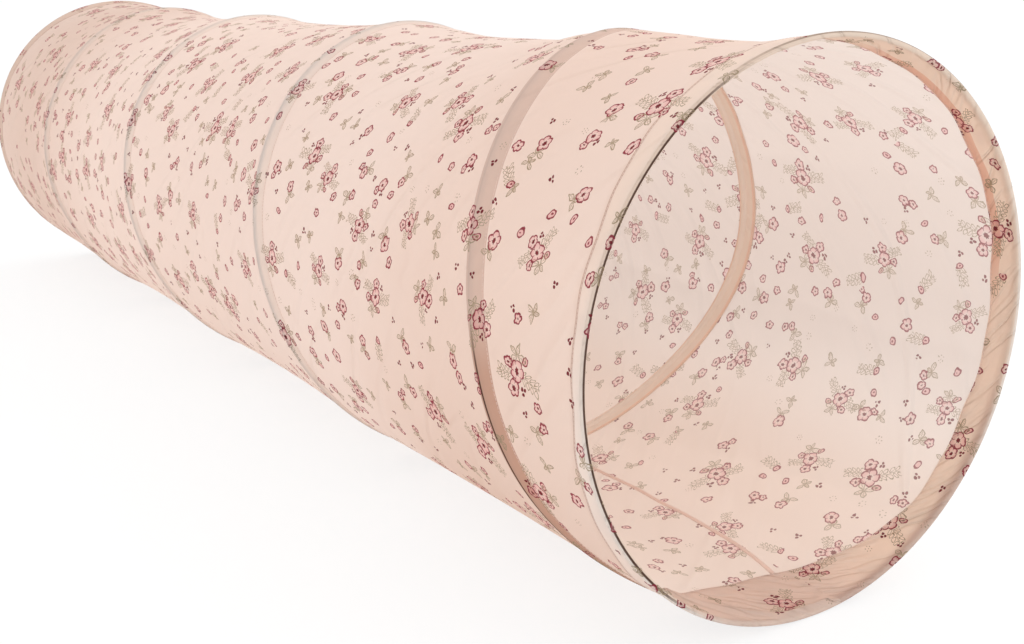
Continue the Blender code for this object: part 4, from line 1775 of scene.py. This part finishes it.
    def stitch_paths(self) -> list:
        """Paths of the hem's stitch row, on its inside and on the tube's outside."""
        form = self.form
        angles = FULL_TURN * np.arange(self.stitch_steps) / self.stitch_steps
        place = form.hem_edge(angles) - self.stitch_inset
        spot = self.spot(place, angles)
        shell = form.cloth_depth(*spot)
        bore_side = shell + self.seat + self.thread_lift + self.over_wire(place, angles)
        return [form.wall(*spot, bore_side), form.wall(*spot, shell - self.thread_sink)]


@dataclass
class SpringFrame:
    """The sprung wire: a ring in each mouth, the helix, and the sleeves that join them."""

    form: TunnelForm
    maker: PieceMaker
    shapes: NodeShapes
    ring_gap_angle: float = 0.0045
    tuck_angle: float = 0.065
    ring_steps: int = 180
    turn_steps: int = 120
    sleeve_length: float = 0.036
    sleeve_wall: float = 0.0006
    sleeve_sides: int = 28
    sleeve_stations: int = 36
    crimp_count: int = 3
    crimp_depth: float = 0.00035
    crimp_power: int = 8

    def ring_path(self) -> np.ndarray:
        """Points of the near mouth's ring, open inside its sleeve."""
        angles = np.linspace(self.ring_gap_angle, FULL_TURN - self.ring_gap_angle, self.ring_steps)
        place = np.full_like(angles, self.form.ring_place)
        return self.form.wall(place, angles, np.full_like(angles, self.form.wire_depth))

    def helix_path(self) -> np.ndarray:
        """Points of the helix, straight in its two sleeves."""
        total = self.form.turns * FULL_TURN
        count = self.turn_steps * self.form.turns
        angles = np.linspace(-self.tuck_angle, total + self.tuck_angle, count)
        place = self.form.wire_place(angles)
        return self.form.wall(place, angles, np.full_like(angles, self.form.wire_depth))

    def build_wire(self, name: str, path: np.ndarray, mouth: Mouth, node: str) -> Object:
        """Sweep one wire along its path and dress it.

        Args:
            name: The piece's name.
            path: Points of the wire's centre line.
            mouth: The mouth that it moves with.
            node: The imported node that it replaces.

        Returns:
            The wire.
        """
        mesh = self.shapes.run(
            name,
            self.shapes.wire,
            [path],
            False,
            Wire_Radius=self.form.wire_radius,
            Material=self.maker.finishes.by_slot[Slot.SPRING_WIRE],
        )
        if mouth is Mouth.REAR:
            self.maker.far_side(mesh)
        return self.maker.place(name, mesh, mouth, Slot.SPRING_WIRE, (node,))

    def build_sleeve(self, mouth: Mouth) -> Object:
        """Make one flat oval crimp sleeve with its pinched marks.

        Args:
            mouth: The mouth that it belongs to.

        Returns:
            The sleeve.
        """
        form = self.form
        middle_place = (form.ring_place + form.helix_start) / 2.0
        half_gap = (form.helix_start - form.ring_place) / 2.0
        radius = form.wire_radius + self.sleeve_wall
        turns = FULL_TURN * np.arange(self.sleeve_sides) / self.sleeve_sides
        along = np.linspace(-self.sleeve_length / 2.0, self.sleeve_length / 2.0, self.sleeve_stations)
        marks = np.sin(math.pi * self.crimp_count * (along / self.sleeve_length + 0.5))
        pinch = self.crimp_depth * marks ** self.crimp_power
        side = np.sign(np.cos(turns)) * (np.abs(np.cos(turns)) > 1e-9)
        loops = []
        for y, squeeze in zip(along, pinch):
            reach = radius - squeeze
            place = middle_place + half_gap * side + reach * np.cos(turns)
            depth = form.wire_depth + reach * np.sin(turns)
            angle = np.full_like(turns, -y / form.ring_radius)
            loops.append(form.wall(place, angle, depth))
        outer = np.stack(loops)
        centre = outer.mean(axis=1, keepdims=True)
        inner = centre + (outer - centre) * (1.0 - self.sleeve_wall / radius)
        skin = np.concatenate([outer, inner[::-1], outer[:1]])
        uv = np.zeros(skin.shape[:2] + (2,))
        name = f"{mouth.value}_crimp"
        mesh = self.maker.sheet_mesh(name, np.swapaxes(skin, 0, 1), np.swapaxes(uv, 0, 1), True)
        self.maker.close_doubles(mesh)
        builder = bmesh.new()
        builder.from_mesh(mesh)
        bmesh.ops.recalc_face_normals(builder, faces=builder.faces)
        builder.to_mesh(mesh)
        builder.free()
        if mouth is Mouth.REAR:
            self.maker.far_side(mesh)
        node = f"{mouth.value}_crimp_sleeve"
        return self.maker.place(name, mesh, mouth, Slot.SLEEVE_METAL, (node,))

    def build(self) -> list:
        """Make both rings, both sleeves and the helix.

        Returns:
            The pieces.
        """
        pieces = []
        for mouth in Mouth:
            name = f"{mouth.value}_ring"
            pieces.append(self.build_wire(name, self.ring_path(), mouth, f"{mouth.value}_ring_wire"))
            pieces.append(self.build_sleeve(mouth))
        pieces.append(self.build_wire("helix_spring", self.helix_path(), Mouth.FRONT, "helix_wire"))
        return pieces


@dataclass
class Casing:
    """The tape sewn over the helix on the tube's inside."""

    form: TunnelForm
    maker: PieceMaker
    half_width: float = 0.0125
    thickness: float = 0.0005
    seat: float = 0.0004
    crown_half: float = 0.0022
    crown_fall: float = 0.0030
    start_angle: float = 0.32
    turn_steps: int = 200
    stitch_inset: float = 0.0016
    stitch_steps: int = 1440
    thread_sink: float = 0.0001
    near_columns: int = 9
    far_columns: int = 13

    def depth(self, offset: np.ndarray, place: np.ndarray, angle: np.ndarray) -> np.ndarray:
        """Depth of the tape's shell side.

        Args:
            offset: Distance from the wire, along the tunnel.
            place: Places along the tunnel.
            angle: Winding angles.

        Returns:
            Depths under the wall's full section.
        """
        within = angle % FULL_TURN
        clothed = self.form.sag(place, within) + self.form.creases(place, within)
        rise = 1.0 - smooth_step((np.abs(offset) - self.crown_half) / self.crown_fall)
        crown = self.form.wire_depth + self.form.wire_radius + self.seat
        return np.maximum(clothed + self.seat, crown * rise + (clothed + self.seat) * (1.0 - rise))

    def angles(self) -> np.ndarray:
        """Winding angles from beside one sleeve to beside the other."""
        total = self.form.turns * FULL_TURN
        return np.linspace(self.start_angle, total - self.start_angle, self.turn_steps * self.form.turns)

    def build(self) -> Object:
        """Make the tape's mesh, with its two faces and its edges.

        Returns:
            The tape.
        """
        near_edge = -self.half_width - self.form.casing_shift
        far_edge = self.half_width - self.form.casing_shift
        foot = self.crown_half + self.crown_fall
        offsets = np.concatenate([
            np.linspace(near_edge, -foot, self.near_columns),
            np.linspace(-foot, far_edge, self.far_columns)[1:],
        ])
        angles = self.angles()
        offset, angle = np.meshgrid(offsets, angles)
        place = self.form.wire_place(angle) + offset
        depth = self.depth(offset, place, angle)
        shell_side = self.form.wall(place, angle, depth)
        bore_side = self.form.wall(place, angle, depth + self.thickness)
        section = np.concatenate([shell_side, bore_side[:, ::-1]], axis=1)
        across = np.concatenate([offset, offset[:, ::-1]], axis=1)
        run = np.broadcast_to((angles * self.form.ring_radius)[:, None], across.shape)
        uv = np.stack([across, run], axis=-1)
        mesh = self.maker.sheet_mesh("casing_band", np.swapaxes(section, 0, 1), np.swapaxes(uv, 0, 1), True)
        from_middle = np.abs(np.swapaxes(across, 0, 1) + self.form.casing_shift)
        self.maker.add_number(mesh, "in_edge", self.half_width - from_middle)
        self.maker.cap_ends(mesh, *section.shape[:2])
        return self.maker.place("casing_band", mesh, Mouth.FRONT, Slot.CASING_TAPE, ("helix_casing",))

    def stitch_paths(self) -> list:
        """Paths of the two stitch rows, on the tape and on the tube's outside."""
        paths = []
        end_angle = self.form.turns * FULL_TURN - self.start_angle
        angles = np.linspace(self.start_angle, end_angle, self.stitch_steps)
        for side in (-1.0, 1.0):
            edge = side * (self.half_width - self.stitch_inset)
            offset = np.full_like(angles, edge - self.form.casing_shift)
            place = self.form.wire_place(angles) + offset
            depth = self.depth(offset, place, angles) + self.thickness
            paths.append(self.form.wall(place, angles, depth))
            paths.append(self.form.wall(place, angles, depth - self.thickness - self.seat - self.thread_sink))
        return paths


@dataclass
class Seam:
    """The lengthwise seam's folded allowance, on the inside, between the casing's turns."""

    form: TunnelForm
    maker: PieceMaker
    half_width: float = 0.0021
    thickness: float = 0.0004
    seat: float = 0.0003
    start_place: float = 0.0620
    under_casing: float = 0.0140
    past_wire: float = 0.0030
    steps: int = 110
    columns: int = 6
    waves: tuple = ((0.0006, 9.0, 0.7), (0.0004, 41.0, 0.0))
    bend_out: float = 0.0200
    bend_run: float = 0.085
    least_height: float = 0.0002
    rim_power: int = 6

    def strip(self, start: float, end: float) -> tuple[np.ndarray, np.ndarray]:
        """Points and cloth places of one stretch of the seam.

        Args:
            start: Place where it starts.
            end: Place where it ends.

        Returns:
            Points and UV places, with the section closed on itself.
        """
        place = np.linspace(start, end, self.steps)
        drift = sum(reach * np.sin(place * rate + first) for reach, rate, first in self.waves)
        drift = drift + self.bend_out * np.exp(-((place / self.bend_run) ** 2))
        across = np.linspace(-self.half_width, self.half_width, self.columns)
        angles = ClothTube.seam_angle + (across[None, :] + drift[:, None]) / self.form.ring_radius
        places = np.broadcast_to(place[:, None], angles.shape)
        depth = self.form.cloth_depth(places, angles) + self.seat
        rim = 1.0 - np.abs(across / self.half_width) ** self.rim_power
        low = self.form.wall(places, angles, depth)
        top = depth + self.least_height + self.thickness * rim[None, :]
        high = self.form.wall(places, angles, top)
        section = np.concatenate([low, high[:, ::-1]], axis=1)
        width = np.concatenate([across, across[::-1]])
        uv = np.stack(np.broadcast_arrays(width[None, :], place[:, None]), axis=-1)
        return section, uv

    def build(self) -> Object:
        """Make the seam's stretches as one piece.

        Returns:
            The seam.
        """
        angle = np.array([ClothTube.seam_angle + FULL_TURN])
        stops = [float(self.form.helix_place(angle + k * FULL_TURN)[0]) for k in range(self.form.turns)]
        builder = bmesh.new()
        start = self.start_place
        for stop in stops:
            section, uv = self.strip(start, stop - self.under_casing)
            mesh = self.maker.sheet_mesh("seam_part", np.swapaxes(section, 0, 1), np.swapaxes(uv, 0, 1), True)
            self.maker.add_number(mesh, "in_edge", np.swapaxes(self.half_width - np.abs(uv[..., 0]), 0, 1))
            self.maker.cap_ends(mesh, *section.shape[:2])
            builder.from_mesh(mesh)
            start = stop + self.past_wire
        joined = bpy.data.meshes.new("lengthwise_seam")
        builder.to_mesh(joined)
        builder.free()
        nodes = tuple(f"seam_{k + 1}" for k in range(self.form.turns))
        return self.maker.place("lengthwise_seam", joined, Mouth.FRONT, Slot.SEAM_TAPE, nodes)


@dataclass
class Stitching:
    """Rows of thread that hold the hems and the casing."""

    maker: PieceMaker
    shapes: NodeShapes

    def build(self, name: str, paths: list, closed: bool, mouth: Mouth, slot: Slot) -> Object:
        """Lay stitches along paths.

        Args:
            name: The piece's name.
            paths: Point arrays of the rows.
            closed: Whether the rows close on themselves.
            mouth: The mouth that they move with.
            slot: The record's material slot, passed on; the stitches take the thread's material.

        Returns:
            The stitching.
        """
        thread = self.maker.finishes.thread
        mesh = self.shapes.run(name, self.shapes.stitch, paths, closed, Material=thread)
        return self.maker.place(name, mesh, mouth, slot, material=thread)


@dataclass(frozen=True)
class Studio:
    """White floor, even light and the camera at the photograph's angle."""

    camera_place: tuple = (1.5714, -0.7022, 0.4946)
    camera_forward: tuple = (-0.80271, 0.54563, -0.24072)
    lens: float = 45.60
    shift_x: float = -0.0481
    shift_y: float = -0.0185
    floor_half: float = 30.0
    floor_drop: float = 0.0006
    floor_lift: float = 0.76
    floor_white: float = 0.97
    world_level: float = 1.06
    white_level: float = 1.02
    lamps: tuple = (
        ("back_light", (-0.4, 2.6, 2.6), (0.0, 0.0, 0.2), 2.5, 22.0),
        ("mouth_light", (3.0, 0.8, 1.8), (0.6, 0.0, 0.2), 1.8, 9.0),
    )

    def add_camera(self) -> None:
        """Add the camera and make it the scene's."""
        forward = Vector(self.camera_forward).normalized()
        right = forward.cross(Vector((0.0, 0.0, 1.0))).normalized()
        up = right.cross(forward)
        data = bpy.data.cameras.new("camera")
        data.lens = self.lens
        data.shift_x = self.shift_x
        data.shift_y = self.shift_y
        camera = bpy.data.objects.new("camera", data)
        turn = Matrix((right, up, -forward)).transposed().to_4x4()
        camera.matrix_world = Matrix.Translation(self.camera_place) @ turn
        bpy.context.scene.collection.objects.link(camera)
        bpy.context.scene.camera = camera

    def background_ray(self, graph: Graph) -> Socket:
        """Return 1 for rays that should see the plain white background."""
        rays = graph.node("ShaderNodeLightPath")
        seen = graph.math("MAXIMUM", rays.outputs["Is Camera Ray"], rays.outputs["Is Glossy Ray"])
        return graph.math("MAXIMUM", seen, rays.outputs["Is Transmission Ray"])

    def add_floor(self) -> None:
        """Add the white floor, which keeps the tunnel's soft shadow."""
        mesh = bpy.data.meshes.new("floor")
        half = self.floor_half
        corners = [(-half, -half), (half, -half), (half, half), (-half, half)]
        mesh.from_pydata([(x, y, -self.floor_drop) for x, y in corners], [], [(0, 1, 2, 3)])
        material = bpy.data.materials.new("floor_white")
        material.use_nodes = True
        material.node_tree.nodes.clear()
        graph = Graph(material.node_tree)
        white = self.floor_white
        diffuse = graph.made("ShaderNodeBsdfDiffuse", {"Color": (white, white, white, 1.0)})
        glow = graph.made("ShaderNodeEmission", {"Color": (1.0, 1.0, 1.0, 1.0), "Strength": self.white_level})
        share = graph.times(self.background_ray(graph), self.floor_lift)
        mixed = graph.made("ShaderNodeMixShader", {0: share, 1: diffuse, 2: glow})
        graph.feed(graph.node("ShaderNodeOutputMaterial").inputs["Surface"], mixed)
        mesh.materials.append(material)
        floor = bpy.data.objects.new("floor", mesh)
        bpy.context.scene.collection.objects.link(floor)

    def add_world(self, strength: float) -> None:
        """Light the scene evenly from all round, with a white background."""
        world = bpy.data.worlds.new("studio")
        world.use_nodes = True
        world.node_tree.nodes.clear()
        graph = Graph(world.node_tree)
        level = graph.ramp(self.background_ray(graph), self.white_level - strength, strength)
        light = graph.made("ShaderNodeBackground", {"Color": (1.0, 1.0, 1.0, 1.0), "Strength": level})
        graph.feed(graph.node("ShaderNodeOutputWorld").inputs["Surface"], light)
        bpy.context.scene.world = world

    def add_lamp(self, name: str, place: tuple, aim: tuple, size: float, power: float) -> None:
        """Add one soft square lamp.

        Args:
            name: The lamp's name.
            place: Where it stands.
            aim: The point that it faces.
            size: Its side length.
            power: Its power in watts.
        """
        data = bpy.data.lights.new(name, "AREA")
        data.size = size
        data.energy = power
        lamp = bpy.data.objects.new(name, data)
        lamp.location = place
        direction = Vector(aim) - Vector(place)
        lamp.rotation_euler = direction.to_track_quat("-Z", "Y").to_euler()
        bpy.context.scene.collection.objects.link(lamp)

    def build(self) -> None:
        """Add everything that isn't the tunnel."""
        bpy.context.scene.view_settings.view_transform = "Standard"
        self.add_camera()
        self.add_floor()
        self.add_world(self.world_level)
        for lamp in self.lamps:
            self.add_lamp(*lamp)


class Tunnel:
    """The whole dressed tunnel."""

    def __init__(self) -> None:
        """Read the form from the frame and build the finishes."""
        self.form = TunnelForm.from_frame()
        self.maker = PieceMaker(self.form, Finishes(self.form))
        self.shapes = NodeShapes()

    def build(self) -> None:
        form, maker = self.form, self.maker
        tube = ClothTube(form, maker).build()
        hems = {mouth: Hem(form, maker, mouth) for mouth in Mouth}
        hem_pieces = [hems[mouth].build() for mouth in Mouth]
        SpringFrame(form, maker, self.shapes).build()
        casing = Casing(form, maker)
        band = casing.build()
        seam = Seam(form, maker).build()
        stitching = Stitching(maker, self.shapes)
        for mouth in Mouth:
            rows = hems[mouth].stitch_paths()
            stitching.build(f"{mouth.value}_hem_stitches", rows, True, mouth, Slot.HEM_CLOTH)
        rows = casing.stitch_paths()
        stitching.build("casing_stitches", rows, False, Mouth.FRONT, Slot.CASING_TAPE)


def main() -> None:
    """Build the studio and the tunnel."""
    logging.basicConfig(level=logging.INFO, format="%(name)s: %(message)s")
    Studio().build()
    Tunnel().build()


if __name__ == "__main__":
    main()
